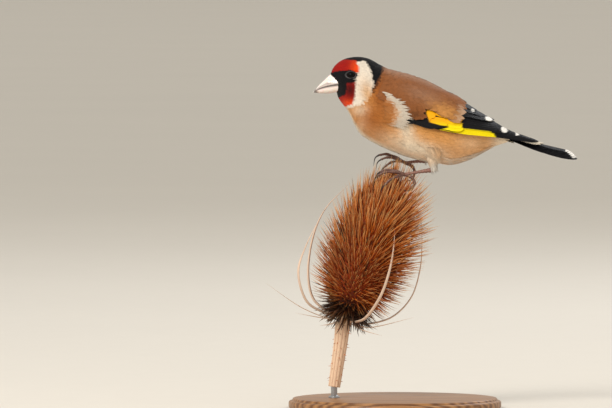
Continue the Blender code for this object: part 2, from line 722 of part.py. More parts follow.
def stem_path(count):
    """The stem's middle line, which turns into the cone's axis at its top."""
    top = CONE_BASE - CONE_AXIS * (CONE_SKIRT + GAP)
    knots = (STEM_END, (-26.8, 0.0, 22.5), (-25.4, 0.0, 32.0), top - CONE_AXIS * COLLAR_LENGTH)
    path = smooth_path(knots, count - 1)
    return np.vstack([path, top])


def stem_radius(share):
    return STEM_RADII[0] + (STEM_RADII[1] - STEM_RADII[0]) * share


# Long bracts that rise round the cone, and short ones under it: turn about the axis, points as
# (out from the axis, up from the cone's base), and width
BRACTS = (
    (172, ((4.9, -1.7), (9.0, -1.4), (17.6, 2.6), (23.6, 14.0), (26.4, 30.0), (25.0, 44.0), (18.4, 58.0)),
     1.5),
    (194, ((4.9, -1.7), (10.0, -2.2), (20.4, 0.4), (28.6, 12.0), (29.2, 25.0), (27.2, 39.0)), 1.4),
    (304, ((4.9, -1.7), (9.5, -1.6), (17.0, 2.6), (22.4, 14.0), (22.6, 26.0), (19.6, 37.0), (15.0, 46.2)),
     1.5),
    (8, ((4.9, -1.7), (10.5, -1.4), (21.0, 5.4), (26.8, 17.0), (26.6, 31.0), (23.2, 44.0), (18.5, 56.4)),
     1.3),
    (62, ((4.9, -1.7), (9.5, -1.6), (19.0, 3.0), (24.5, 16.0), (24.8, 30.0), (19.2, 46.0)), 1.4),
    (118, ((4.9, -1.7), (9.5, -1.6), (19.5, 2.8), (25.0, 15.0), (24.2, 32.0), (18.0, 45.0)), 1.4),
    (206, ((4.9, -3.3), (12.0, -4.2), (26.0, -2.6), (46.0, 3.0)), 0.9),
    (223, ((4.9, -3.3), (14.0, -4.6), (33.0, -5.9)), 0.9),
    (340, ((4.9, -3.3), (14.5, -1.6), (32.5, 9.0)), 0.9),
    (242, ((4.9, -3.3), (12.0, -6.0), (23.0, -8.0)), 0.9),
    (320, ((4.9, -3.3), (13.0, -4.2), (25.5, -3.6)), 0.9),
)


def bract_way(degrees):
    """The direction out from the cone's axis. Turn 0 leads towards +X and 270 towards -Y."""
    turn = math.radians(degrees)
    out = np.array((math.cos(turn), math.sin(turn), 0.0))
    out -= CONE_AXIS * np.dot(out, CONE_AXIS)
    return out / np.linalg.norm(out)


def bract_path(degrees, knots):
    """A bract's middle line."""
    out = bract_way(degrees)
    points = [CONE_BASE + out * a + CONE_AXIS * b for a, b in knots]
    return smooth_path(points, 4 * (len(points) - 1))


def keep_clear_lines():
    """The bird's legs and the bracts as (start, end, radius), which spines keep clear of."""
    lines = []
    for degrees, knots, width in BRACTS:
        path = bract_path(degrees, knots)
        lines += [(a, b, width) for a, b in zip(path, path[1:])]
    collar = stem_path(10)[-3:]
    lines += [(a, b, COLLAR_RADIUS) for a, b in zip(collar, collar[1:])]
    for leg in LEGS.values():
        shank = leg["shank"]
        lines += [(shank[0], shank[1], HEEL_RADIUS), (shank[1], shank[2], PAD_RADIUS)]
        lines.append((leg["thigh"][1], leg["thigh"][2], THIGH_RADII[1]))
        for toe in leg["toes"]:
            path = smooth_path(toe_path(leg, toe), 7)
            lines += [(a, b, TOE_RADIUS[toe] * 1.2) for a, b in zip(path, path[1:])]
            tip = leg["toes"][toe][-1]
            knee, point = leg["claws"][toe]
            lines += [(tip, knee, CLAW_RADIUS[toe]), (knee, point, CLAW_RADIUS[toe])]
    return [(np.asarray(a, float), np.asarray(b, float), r) for a, b, r in lines]


def distance_to_line(point, start, end):
    run = end - start
    share = np.clip(np.dot(point - start, run) / np.dot(run, run), 0, 1)
    return float(np.linalg.norm(point - start - run * share))


LOWEST_BELLY = min(row[3] for row in BODY_ROWS)


def clear_share(path, radius, lines):
    """How much of a spine's path, from its root, stays clear of the legs and the belly."""
    steps = 14
    for k in range(1, steps + 1):
        spot = between(path, np.array(k / steps * (len(path) - 1)))
        near = any(distance_to_line(spot, a, b) < r + radius + GAP + 0.1 for a, b, r in lines)
        margin = radius + GAP + 0.5
        if near or (spot[2] > LOWEST_BELLY - margin and BODY.inside(spot, margin)):
            return (k - 1) / steps
    return 1.0


def spine_run(share, turn, sway):
    """The way that a spine leans at its place on the cone: out and up, and down near the base."""
    lean = math.radians(-18 + 62 * share ** 0.7 + sway)
    up = CONE_AXIS - cone_normal(share, turn) * np.dot(CONE_AXIS, cone_normal(share, turn))
    up /= max(np.linalg.norm(up), 1e-6)
    return cone_normal(share, turn) * math.cos(lean) + up * math.sin(lean), up


def make_teasel_head(look):
    turns = np.arange(CONE_SIDES) * 2 * math.pi / CONE_SIDES
    rings = [[cone_point(0, t) - CONE_AXIS * CONE_SKIRT for t in turns]]
    for share in np.linspace(0.01, 0.96, 9):
        rings.append([cone_point(share, t) for t in turns])
    rings.append([CONE_TOP])
    head = rings_solid("teasel_head", rings)
    rng = np.random.default_rng(7)
    lines = keep_clear_lines()
    # as many spines on each patch of the cone, whatever its girth
    shares = np.linspace(0.02, 0.985, 40)
    spread = np.cumsum([cone_radius(share) for share in shares])
    spread = (spread - spread[0]) / (spread[-1] - spread[0])
    spines = []
    for k in range(SPINE_COUNT):
        share = float(np.interp((k + 0.5) / SPINE_COUNT, spread, shares))
        turn = k * GOLDEN_ANGLE
        run, up = spine_run(share, turn, rng.normal(0, 3))
        length = float(between(SPINE_LENGTHS, np.array(share * (len(SPINE_LENGTHS) - 1)))[0])
        length *= rng.uniform(0.88, 1.1)
        root = cone_point(share, turn, -SPINE_SINK)
        path = np.array([root, root + run * length * 0.5, root + run * length + up * length * 0.1])
        kept = clear_share(path, SPINE_RADIUS / 2, lines)
        if kept < SHORTEST_SPINE:
            continue
        ends = between(path, np.array([0.0, 2 * kept]))
        spines.append(tube(f"spine_{k}", ends, (SPINE_RADIUS, 0.05), 3, turn=30, pointed=True))
    boolean(head, spines, "UNION")
    return finish(head, look, 30)


def make_bracts(look):
    for number, (degrees, knots, width) in enumerate(BRACTS):
        path = bract_path(degrees, knots)
        wide = np.cross(CONE_AXIS, bract_way(degrees))
        halves = width * np.concatenate([[0.5, 0.8], np.linspace(1.0, 0.2, len(path) - 3), [0.0]])
        rings = []
        for point, tangent, half in zip(path, frames_along(path)[0], halves):
            thin = np.cross(tangent, wide)
            thin /= np.linalg.norm(thin)
            flat = max(half * BRACT_FLAT, 0.27)
            wide_edge, thin_edge = wide * half, thin * flat
            rings.append([point + wide_edge, point + thin_edge, point - wide_edge, point - thin_edge])
        rings[-1] = [path[-1]]
        finish(rings_solid(f"bract_{number + 1}", rings), look)


def make_stem(look):
    """The cut length of ridged stem, with the collar that the cone and its bracts stand on."""
    sides = 2 * STEM_RIDGES
    path = stem_path(10)
    _, across, other = frames_along(path)
    across[-1] = CONE_OTHER * np.dot(across[-1], CONE_OTHER) + CONE_ACROSS * np.dot(across[-1], CONE_ACROSS)
    across[-1] /= np.linalg.norm(across[-1])
    other[-1] = np.cross(CONE_AXIS, across[-1])
    across[0] -= (0.0, 0.0, across[0][2])
    across[0] /= np.linalg.norm(across[0])
    other[0] = np.cross((0.0, 0.0, 1.0), across[0])
    rings = []
    for k, point in enumerate(path):
        share = k / (len(path) - 1)
        flare = 1.0 if k >= len(path) - 2 else 0.0
        radius = stem_radius(share) + (COLLAR_RADIUS - STEM_RADII[1]) * flare
        ring = []
        for n in range(sides):
            turn = 2 * math.pi * n / sides
            rib = radius * (1.0 if n % 2 else 0.86 + 0.1 * flare)
            ring.append(point + (across[k] * math.cos(turn) + other[k] * math.sin(turn)) * rib)
        rings.append(ring)
    stem = rings_solid("teasel_stem", rings)
    prickles = []
    rng = np.random.default_rng(3)
    for k in range(PRICKLE_COUNT):
        share = 0.1 + 0.6 * k / (PRICKLE_COUNT - 1)
        turn = k * GOLDEN_ANGLE
        middle = between(path, np.array(share * (len(path) - 1)))
        out = np.array((math.cos(turn), math.sin(turn), -0.35))
        root = middle + out * (stem_radius(share) - 1.3)
        tip = middle + out * (stem_radius(share) + rng.uniform(0.8, 1.3))
        prickles.append(tube(f"prickle_{k}", np.array([root, tip]), (0.6, 0.05), 4, pointed=True))
    boolean(stem, prickles, "UNION")
    return finish(stem, look, 25)


BASE_CENTRE_X, BASE_RADIUS, BASE_THICK, BASE_ROUND = 0.0, 50.0, 5.0, 0.9
ROD_RADIUS = 1.5


def make_stand(looks):
    around = 36
    rings = []
    for radius, height in ((BASE_RADIUS - BASE_ROUND * 0.4, 0.0), (BASE_RADIUS, BASE_ROUND * 0.4),
                           (BASE_RADIUS, BASE_THICK - BASE_ROUND), (BASE_RADIUS - BASE_ROUND, BASE_THICK)):
        rings.append([np.array((BASE_CENTRE_X + radius * math.cos(a), radius * math.sin(a), height))
                      for a in np.arange(around) * 2 * math.pi / around])
    finish(rings_solid("stand_base", rings), looks["wood"], 30)
    foot, head = np.array((STEM_END[0], 0, BASE_THICK + GAP)), np.array((STEM_END[0], 0, STEM_END[2] - GAP))
    finish(tube("stand_rod", np.array([foot, head]), (ROD_RADIUS, ROD_RADIUS), 16), looks["steel"])


def clear_scene():
    for thing in list(bpy.data.objects):
        bpy.data.objects.remove(thing)


def main():
    clear_scene()
    looks = {
        "mask": material("mask", (0.55, 0.02, 0.02)),
        "plumage": material("plumage", (0.42, 0.22, 0.10)),
        "breast": material("breast", (0.62, 0.42, 0.24)),
        "flight": material("flight", (0.02, 0.02, 0.022), 0.5),
        "down": material("down", (0.75, 0.68, 0.58)),
        "bill": material("bill", (0.80, 0.66, 0.60), 0.35),
        "eye": material("eye", (0.02, 0.012, 0.01), 0.08),
        "leg": material("leg", (0.40, 0.22, 0.17), 0.5),
        "claw": material("claw", (0.05, 0.035, 0.03), 0.35),
        "teasel": material("teasel", (0.40, 0.17, 0.05)),
        "stem": material("stem", (0.60, 0.42, 0.28)),
        "wood": material("wood", (0.35, 0.22, 0.12), 0.45),
        "steel": material("steel", (0.45, 0.45, 0.46), 0.3),
    }
    make_head(looks["mask"])
    make_eyes(looks["eye"])
    make_bill(looks["bill"])
    make_neck(looks["plumage"])
    make_torso(looks["breast"])
    for side_name in SIDES:
        make_wing(side_name, looks["flight"])
        make_leg(side_name, looks)
    make_tail(looks["flight"])
    make_teasel_head(looks["teasel"])
    make_bracts(looks["stem"])
    make_stem(looks["stem"])
    make_stand(looks)


main()
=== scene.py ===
"""Dresses the goldfinch model: plumage, bill, eyes, legs, teasel head, stalk and display stand."""

import math

import bpy
import numpy as np
from bpy.props import FloatProperty, FloatVectorProperty, IntProperty, PointerProperty
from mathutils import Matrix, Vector


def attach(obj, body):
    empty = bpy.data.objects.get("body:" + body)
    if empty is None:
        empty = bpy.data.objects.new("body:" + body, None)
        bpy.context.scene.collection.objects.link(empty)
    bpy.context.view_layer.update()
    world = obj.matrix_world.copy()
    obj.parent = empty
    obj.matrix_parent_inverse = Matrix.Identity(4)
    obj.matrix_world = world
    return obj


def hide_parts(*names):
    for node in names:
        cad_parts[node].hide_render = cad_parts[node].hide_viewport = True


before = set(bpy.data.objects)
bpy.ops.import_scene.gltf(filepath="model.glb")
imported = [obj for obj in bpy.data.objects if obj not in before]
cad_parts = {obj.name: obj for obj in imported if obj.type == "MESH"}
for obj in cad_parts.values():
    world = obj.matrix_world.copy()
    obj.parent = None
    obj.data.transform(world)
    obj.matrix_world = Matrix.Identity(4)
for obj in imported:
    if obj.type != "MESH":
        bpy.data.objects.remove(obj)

bl_info = {
    "name": "Goldfinch on a teasel",
    "version": (1, 0, 0),
    "blender": (4, 5, 0),
    "location": "3D View > Sidebar > Goldfinch",
    "description": "Builds the looks of a life-size goldfinch model on its teasel head",
    "category": "Object",
}

MM = 0.001
SIDES = {"left": -1, "right": 1}
GOLDEN_ANGLE = math.radians(137.508)
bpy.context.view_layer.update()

# The body's sections, in millimetres: top x and z, bottom x and z, half width, and how far the widest
# part sags, as a share of half the height
BODY_ROWS = (
    (-30.6, 156.7, -27.4, 148.1, 2.3, 0.00),
    (-28.7, 160.7, -26.4, 145.7, 3.9, 0.08),
    (-24.7, 163.9, -24.7, 143.3, 6.7, 0.16),
    (-19.0, 165.3, -22.6, 140.6, 9.1, 0.22),
    (-13.0, 164.7, -20.7, 137.0, 10.1, 0.22),
    (-7.4, 161.9, -18.9, 133.0, 11.6, 0.18),
    (-1.4, 159.1, -15.9, 128.6, 13.6, 0.14),
    (6.5, 157.0, -8.6, 124.1, 15.2, 0.10),
    (14.0, 154.4, 0.4, 120.1, 15.6, 0.06),
    (21.5, 150.6, 9.5, 117.1, 15.0, 0.04),
    (28.5, 146.0, 18.5, 115.4, 13.4, 0.02),
    (35.0, 140.8, 27.5, 115.0, 10.9, 0.00),
    (41.5, 136.0, 36.0, 117.6, 8.0, 0.00),
    (48.0, 131.8, 44.5, 122.2, 5.2, 0.00),
    (54.0, 128.6, 52.5, 125.1, 3.4, 0.00),
)
NECK_ROW, TAIL_ROOT = 4.3, 14.0  # the rows where the neck begins and where the tail does

# The folded wings lie on a sheet that leaves the body where the rump narrows
WING_FIRST_ROW = 5
WING_ROWS = BODY_ROWS[WING_FIRST_ROW:10] + (
    (28.5, 146.5, 18.8, 115.8, 14.1, 0.02),
    (35.0, 141.9, 28.0, 116.2, 12.6, 0.00),
    (42.0, 137.6, 37.5, 118.4, 10.6, 0.00),
    (50.0, 133.8, 48.0, 120.6, 8.2, 0.00),
    (58.5, 130.0, 57.8, 122.2, 5.8, 0.00),
    (67.0, 126.4, 66.9, 123.4, 3.0, 0.00),
)


def tint(code):
    """A linear colour from a six-letter colour code."""
    parts = np.array([int(code[k:k + 2], 16) / 255 for k in (0, 2, 4)])
    return tuple(np.where(parts <= 0.04045, parts / 12.92, ((parts + 0.055) / 1.055) ** 2.4).tolist())


def colour_setting(name, description, code):
    return FloatVectorProperty(name=name, description=description, subtype="COLOR", size=3,
                               min=0.0, max=1.0, default=tint(code))


def length_setting(name, description, default):
    return FloatProperty(name=name, description=description, default=default * MM, min=0.0,
                         precision=5, unit="LENGTH")


class PlumageSettings(bpy.types.PropertyGroup):
    """Sizes and colours of the feathers."""

    skin_depth: length_setting("Skin depth", "Depth of the body feathers over the skin", 1.1)
    face_depth: length_setting("Face depth", "Depth of the feathers round the bill and the eyes", 0.36)
    density: FloatProperty(name="Density", description="Share of the full number of body feathers",
                           default=1.0, min=0.1, max=1.0, subtype="FACTOR")
    crimson: colour_setting("Face red", "Red of the face", "98120A")
    scarlet: colour_setting("Face scarlet", "Bright tips of the face feathers", "EC4A10")
    black: colour_setting("Black", "Crown, lores and flight feathers", "08070B")
    cheek: colour_setting("Cheek", "White of the cheek", "E8DCCC")
    cheek_shade: colour_setting("Cheek shade", "Beige of the rear of the cheek", "D0A67C")
    maroon: colour_setting("Throat shade", "Dark red beside the bill", "4A0604")
    shoulder_buff: colour_setting("Shoulder buff", "Buff of the hindmost shoulder feathers", "CC9050")
    mantle: colour_setting("Mantle", "Brown of the back and shoulders", "8A542E")
    # Painted sheen: a paler, greyer brown that stands for the sky's light along the top of the back
    mantle_sheen: colour_setting("Pale mantle", "Greyer edges along the back", "A37E66")
    nape: colour_setting("Nape side", "Orange brown behind the cheek", "904E1C")
    breast: colour_setting("Breast side", "Orange buff of the breast", "9C5A24")
    down: colour_setting("Down", "Grey white of the loose feathers by the legs", "CFC6BA")
    flank: colour_setting("Flank", "Buff of the flank", "DB9A54")
    belly: colour_setting("Belly", "Cream of the belly and vent", "EFE1CA")
    yellow: colour_setting("Wing yellow", "Yellow of the wing band", "FFE600")
    amber: colour_setting("Wing amber", "Upper edge of the wing's yellow", "FFB208")
    white: colour_setting("Spots", "White of the feather tips", "F2EEE8")


class HornSettings(bpy.types.PropertyGroup):
    """Colours of the bill, eyes, legs and claws."""

    bill: colour_setting("Bill", "Pinkish white of the bill", "F8EAE2")
    # Painted shade: the brown under the lower mandible, which faces away from the light
    bill_underside_shade: colour_setting("Bill shade", "Brown under the bill", "B58A70")
    bill_dark: colour_setting("Bill tip", "Dark ridge and tip of the bill", "3A2420")
    iris: colour_setting("Iris", "Dark brown of the eye", "120906")
    lid: colour_setting("Eyelid", "Grey of the bare eyelid", "585256")
    leg: colour_setting("Leg", "Pinkish brown of the legs", "8C6052")
    leg_dark: colour_setting("Leg shade", "Brown between the scutes", "3C221C")
    claw: colour_setting("Claw", "Dark horn of the claws", "241A18")


class TeaselSettings(bpy.types.PropertyGroup):
    """Sizes and colours of the teasel head, its bracts and the stalk."""

    spines: IntProperty(name="Spines", description="Number of spines on the head", default=2500, min=100,
                        max=4000)
    spine_width: length_setting("Spine width", "Width of a spine near its root", 0.95)
    core: colour_setting("Core", "Deep orange brown of the head", "943602")
    husk: colour_setting("Husk", "Orange of the spines' lower halves", "C8660A")
    straw: colour_setting("Straw", "Pale tips of the spines", "EDC27E")
    # A near black: painted shade at the base of the teasel head and in its pits, and the own colour of dark
    # spines, flecks and bract ends
    dark_and_shade: colour_setting("Scorched", "Dark spines near the head's base", "120A06")
    stalk: colour_setting("Stalk", "Pinkish straw of the stalk", "E6C6A8")
    bract: colour_setting("Bract", "Pale grey brown of the bracts", "D8BCA6")


class StandSettings(bpy.types.PropertyGroup):
    """Colours of the display stand."""

    oak: colour_setting("Oak", "Oiled oak of the base", "A87848")
    grain: colour_setting("Grain", "Darker grain of the oak", "6E4522")
    steel: colour_setting("Steel", "Brushed steel of the rod", "A8A8AA")


class StudioSettings(bpy.types.PropertyGroup):
    """Camera, light and floor."""

    distance: FloatProperty(name="Camera distance", description="From the camera to the bird", default=4.0,
                            min=0.5, unit="LENGTH")
    height_angle: FloatProperty(name="Camera height", description="Angle of the camera over the horizon",
                                default=math.radians(2.0), subtype="ANGLE")
    view_width: length_setting("View width", "Width of the view at the bird", 287.64)
    view_centre: FloatVectorProperty(name="View centre", description="Point at the middle of the view",
                                     default=(-0.04183, 0.0, 0.09616), subtype="XYZ", unit="LENGTH")
    key: FloatProperty(name="Key light", description="Strength of the main soft light", default=26.0,
                       unit="POWER")
    rim: FloatProperty(name="Back light", description="Strength of the soft light from behind",
                       default=12.0, unit="POWER")
    air: FloatProperty(name="Room light", description="Strength of the even light all round", default=0.8)
    floor: colour_setting("Floor", "Pale floor", "DAD4CA")
    air_colour: colour_setting("Room colour", "Colour of the even light", "F2EEE6")


def between(rows, place):
    """The rows read at places between them, on one smooth curve through all of them."""
    rows = np.asarray(rows, float)
    place = np.asarray(place, float)
    last = len(rows) - 1
    first = np.clip(np.floor(place).astype(int), 0, last - 1)
    share = (place - first)[..., None]
    ends = np.vstack([2 * rows[0] - rows[1], rows, 2 * rows[-1] - rows[-2]])
    before, start, end, after = (ends[first + step] for step in range(4))
    return start + 0.5 * share * (
        end - before
        + share * (2 * before - 5 * start + 4 * end - after
                   + share * (3 * (start - end) + after - before))
    )


def dot(a, b):
    return (a * b).sum(-1)


def unit(vectors):
    return vectors / np.maximum(np.linalg.norm(vectors, axis=-1, keepdims=True), 1e-9)


def smooth_step(value, low, high):
    share = np.clip((value - low) / (high - low), 0, 1)
    return share * share * (3 - 2 * share)


def crossed(first, second):
    """Two grids that pair each value of the first list with each of the second."""
    return np.meshgrid(first, second, indexing="ij")


def full_turn(steps):
    """Even angles once round, in radians."""
    return np.arange(steps) * 2 * math.pi / steps


def mix(tones, colour, weight):
    """Colours with as much of another colour as the weights say."""
    weight = np.asarray(weight)[..., None]
    return np.asarray(tones) * (1 - weight) + np.asarray(colour) * weight


def capped(tones, first, last):
    """The tones of a body's rings, and of the two points that close its ends."""
    return np.concatenate([tones.reshape(-1, 3), np.array([first, last])])


class Sheet:
    """A surface that feathers lie on. A place on it is a row along the bird and an angle from its top.

    Angles run from -180 to 180 degrees, and the bird's left side has the negative ones.
    """

    def __init__(self, rows, first_row=0):
        self.rows = rows
        self.first_row = first_row

    def bare(self, row, angle):
        section = between(self.rows, row - self.first_row)
        top_x, top_z, low_x, low_z, wide, sag = np.moveaxis(section, -1, 0)
        angle = np.radians(angle)
        high = np.cos(angle) - sag * np.sin(angle) ** 2
        x = (top_x + low_x) / 2 + high * (top_x - low_x) / 2
        z = (top_z + low_z) / 2 + high * (top_z - low_z) / 2
        return np.stack([x, wide * np.sin(angle), z], -1)

    def slopes(self, row, angle):
        """How the surface runs with row and with angle."""
        row, angle = np.broadcast_arrays(np.asarray(row, float), np.asarray(angle, float))
        step_row, step_angle = 0.02, 0.5
        along = (self.bare(row + step_row, angle) - self.bare(row - step_row, angle)) / (2 * step_row)
        around = (self.bare(row, angle + step_angle) - self.bare(row, angle - step_angle)) / (2 * step_angle)
        return along, around

    def normal(self, row, angle):
        along, around = self.slopes(row, angle)
        return unit(np.cross(along, around))

    def point(self, row, angle, lift=0.0):
        """The point at a place, lifted off the surface."""
        row, angle = np.broadcast_arrays(np.asarray(row, float), np.asarray(angle, float))
        return self.bare(row, angle) + np.asarray(lift)[..., None] * self.normal(row, angle)

    def moved(self, row, angle, step):
        """The places that steps along the surface lead to from given places."""
        along, around = self.slopes(row, angle)
        aa, ab, bb = dot(along, along), dot(along, around), dot(around, around)
        sa, sb = dot(step, along), dot(step, around)
        spread = aa * bb - ab * ab
        return row + (bb * sa - ab * sb) / spread, angle + (aa * sb - ab * sa) / spread

    def unwrap(self, row, angle):
        """Where a place lies on the flat map of the whole body."""
        return np.stack([0.02 + 0.96 * row / TAIL_ROOT, 0.5 + angle / 380], -1)


class Limb(Sheet):
    """The surface round a limb's middle line. Its rows run along the line from 0 to 1."""

    def __init__(self, knots, radii, place):
        self.knots = np.asarray(knots, float)
        self.radii = np.asarray(radii, float)[:, None]
        self.place = place

    def bare(self, row, angle):
        last = len(self.knots) - 1
        middle = between(self.knots, row * last)
        radius = between(self.radii, row * last)
        run = unit(self.knots[-1] - self.knots[0])
        first = unit(np.cross(run, (0.0, 1.0, 0.0)))
        second = np.cross(run, first)
        angle = np.radians(angle)[..., None]
        return middle + radius * (first * np.cos(angle) + second * np.sin(angle))

    def normal(self, row, angle):
        along, around = self.slopes(row, angle)
        return -unit(np.cross(along, around))

    def unwrap(self, row, angle):
        return np.stack([self.place[0] + 0.1 * row, self.place[1] + angle / 3600], -1)


BODY = Sheet(BODY_ROWS)
WING = Sheet(WING_ROWS, WING_FIRST_ROW)


def new_material(name, roughness):
    """A material with a Principled shader, and its node tree and shader."""
    made = bpy.data.materials.new(name)
    made.use_nodes = True
    tree = made.node_tree
    shader = tree.nodes["Principled BSDF"]
    shader.inputs["Roughness"].default_value = roughness
    return made, tree, shader


def node(tree, kind, inputs=None, **values):
    made = tree.nodes.new(kind)
    for name, value in values.items():
        setattr(made, name, value)
    for name, value in (inputs or {}).items():
        if isinstance(value, bpy.types.NodeSocket):
            tree.links.new(value, made.inputs[name])
        else:
            made.inputs[name].default_value = value
    return made


def maths(tree, operation, *values, **more):
    """The result of a Math node for numbers or sockets."""
    return node(tree, "ShaderNodeMath", dict(enumerate(values)), operation=operation, **more).outputs[0]


def group_tree(name, inputs, outputs):
    """An empty shader node group with named sockets, and its input and output nodes."""
    tree = bpy.data.node_groups.new(name, "ShaderNodeTree")
    for socket, kind, default in inputs:
        made = tree.interface.new_socket(socket, in_out="INPUT", socket_type=kind)
        if default is not None:
            made.default_value = default
    for socket, kind in outputs:
        tree.interface.new_socket(socket, in_out="OUTPUT", socket_type=kind)
    return tree, tree.nodes.new("NodeGroupInput"), tree.nodes.new("NodeGroupOutput")


def streak_group():
    """Fine streaks and soft patches over a colour, as feather barbs and dry fibres have them."""
    found = bpy.data.node_groups.get("Streaks")
    if found:
        return found
    tree, into, out = group_tree(
        "Streaks",
        (("Colour", "NodeSocketColor", (0.5, 0.5, 0.5, 1)), ("Place", "NodeSocketVector", None),
         ("Fine scale", "NodeSocketFloat", 1500.0), ("Patch scale", "NodeSocketFloat", 90.0),
         ("Strength", "NodeSocketFloat", 0.25), ("Roughness", "NodeSocketFloat", 0.7)),
        (("Colour", "NodeSocketColor"), ("Roughness", "NodeSocketFloat"), ("Height", "NodeSocketFloat")),
    )
    fine, soft = (
        node(tree, "ShaderNodeTexNoise", {"Vector": into.outputs["Place"], "Scale": into.outputs[scale],
                                          "Detail": detail}).outputs["Fac"]
        for scale, detail in (("Fine scale", 3.0), ("Patch scale", 2.0))
    )
    centred = maths(tree, "SUBTRACT", maths(tree, "ADD", fine, soft), 1.0)
    swing = maths(tree, "MULTIPLY", centred, into.outputs["Strength"])
    shade = node(tree, "ShaderNodeVectorMath",
                 {0: into.outputs["Colour"], "Scale": maths(tree, "ADD", swing, 1.0)}, operation="SCALE")
    rough = maths(tree, "ADD", swing, into.outputs["Roughness"], use_clamp=True)
    tree.links.new(shade.outputs[0], out.inputs["Colour"])
    tree.links.new(rough, out.inputs["Roughness"])
    tree.links.new(fine, out.inputs["Height"])
    return tree


def barb_group():
    """The fine barbs of a feather's blade, from its places along and across in millimetres."""
    found = bpy.data.node_groups.get("Barbs")
    if found:
        return found
    tree, into, out = group_tree(
        "Barbs", (("Place", "NodeSocketVector", None), ("Spacing", "NodeSocketFloat", 0.16)),
        (("Height", "NodeSocketFloat"), ("Tone", "NodeSocketFloat")),
    )
    parts = node(tree, "ShaderNodeSeparateXYZ", {"Vector": into.outputs["Place"]})
    slant = maths(tree, "MULTIPLY_ADD", parts.outputs["Y"], -0.8, parts.outputs["X"])
    turns = maths(tree, "DIVIDE", slant, into.outputs["Spacing"])
    wave = maths(tree, "SINE", maths(tree, "MULTIPLY", turns, 2 * math.pi))
    tree.links.new(wave, out.inputs["Height"])
    # the tone is painted shade: darker in the grooves between the barbs and lighter on them, in step with the
    # bump
    tree.links.new(maths(tree, "MULTIPLY_ADD", wave, 0.09, 1.0), out.inputs["Tone"])
    return tree


def streaked(tree, shader, colour, stretch, fine, patch, strength, roughness):
    """Gives the shader a colour under streaks, which run as the piece's places are stretched.

    Returns the streaks' height.
    """
    place = node(tree, "ShaderNodeTexCoord")
    spread = node(tree, "ShaderNodeMapping", {"Vector": place.outputs["Object"], "Scale": stretch})
    streaks = node(tree, "ShaderNodeGroup", {
        "Colour": colour, "Place": spread.outputs[0], "Fine scale": fine, "Patch scale": patch,
        "Strength": strength, "Roughness": roughness,
    }, node_tree=streak_group())
    tree.links.new(streaks.outputs["Colour"], shader.inputs["Base Color"])
    tree.links.new(streaks.outputs["Roughness"], shader.inputs["Roughness"])
    return streaks.outputs["Height"]


def toned_material(name, fine, patch, strength, roughness, bump, stretch=(1, 1, 1), barbs=0.0):
    """A material that takes its markings from the mesh's tone and lays streaks over them.

    barbs is the spacing of a feather's barbs in millimetres, or 0 where there are none.
    """
    made, tree, shader = new_material(name, roughness)
    colour = node(tree, "ShaderNodeAttribute", attribute_name="tone").outputs["Color"]
    if barbs:
        blade = node(tree, "ShaderNodeAttribute", attribute_name="blade")
        rows = node(tree, "ShaderNodeGroup", {"Place": blade.outputs["Vector"], "Spacing": barbs},
                    node_tree=barb_group())
        # the barbs' painted shade darkens the grooves between them
        colour = node(tree, "ShaderNodeVectorMath", {0: colour, "Scale": rows.outputs["Tone"]},
                      operation="SCALE").outputs[0]
    height = streaked(tree, shader, colour, stretch, fine, patch, strength, roughness)
    raised = node(tree, "ShaderNodeBump", {"Strength": 0.5, "Distance": bump * MM, "Height": height})
    if barbs:
        raised = node(tree, "ShaderNodeBump", {"Strength": 0.6, "Distance": 0.02 * MM,
                                               "Height": rows.outputs["Height"], "Normal": raised.outputs[0]})
    tree.links.new(raised.outputs[0], shader.inputs["Normal"])
    return made, shader


# Feather materials: fine and patch scale of their streaks, strength, roughness, bump, spacing of the barbs,
# and specular level
FEATHER_LOOKS = {
    "Body feathers": (2400, 220, 0.26, 0.75, 0.03, 0.15, 0.15),
    "Flight feathers": (2200, 240, 0.2, 0.5, 0.03, 0.22, 0.2),
}


def feather_material(name="Body feathers"):
    found = bpy.data.materials.get(name)
    if found:
        return found
    *streaks, bump, spacing, specular = FEATHER_LOOKS[name]
    made, shader = toned_material(name, *streaks, bump, barbs=spacing)
    shader.inputs["Specular IOR Level"].default_value = specular
    if name == "Body feathers":
        shader.inputs["Sheen Weight"].default_value = 0.05
        shader.inputs["Sheen Roughness"].default_value = 0.5
    return made


def mesh_piece(name, points, faces, look, tones=None, blade=None, normals=None, bake_places=None, sharp=None):
    """A mesh from points in millimetres and triangles.

    Each point may have a tone, a place on its feather's blade and a normal, and each corner of a triangle
    a place on the bake map.
    """
    faces = np.asarray(faces, np.int32)
    mesh = bpy.data.meshes.new(name)
    mesh.vertices.add(len(points))
    mesh.vertices.foreach_set("co", (np.asarray(points, float) * MM).astype(np.float32).ravel())
    mesh.loops.add(faces.size)
    mesh.loops.foreach_set("vertex_index", faces.ravel())
    mesh.polygons.add(len(faces))
    mesh.polygons.foreach_set("loop_start", np.arange(0, faces.size, faces.shape[1], dtype=np.int32))
    mesh.update(calc_edges=True)
    mesh.materials.append(look)
    mesh.shade_smooth()
    if sharp:
        mesh.set_sharp_from_angle(angle=math.radians(sharp))
    if tones is not None:
        layer = mesh.color_attributes.new("tone", "FLOAT_COLOR", "POINT")
        values = np.ones((len(points), 4), np.float32)
        values[:, :3] = np.clip(tones, 0, 1)
        layer.data.foreach_set("color", values.ravel())
    if blade is not None:
        layer = mesh.attributes.new("blade", "FLOAT_VECTOR", "POINT")
        layer.data.foreach_set("vector", np.asarray(blade, np.float32).ravel())
    if bake_places is not None:
        layer = mesh.uv_layers.new(name="OFBake")
        layer.data.foreach_set("uv", np.asarray(bake_places, np.float32).ravel())
    if normals is not None:
        mesh.normals_split_custom_set_from_vertices(np.asarray(normals, np.float32))
    made = bpy.data.objects.new(name, mesh)
    bpy.context.scene.collection.objects.link(made)
    return made


def hold(piece, slot, *nodes):
    """Fixes a piece to the model, in the place of the given nodes."""
    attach(piece, "root")
    if nodes:
        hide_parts(*nodes)
    return piece


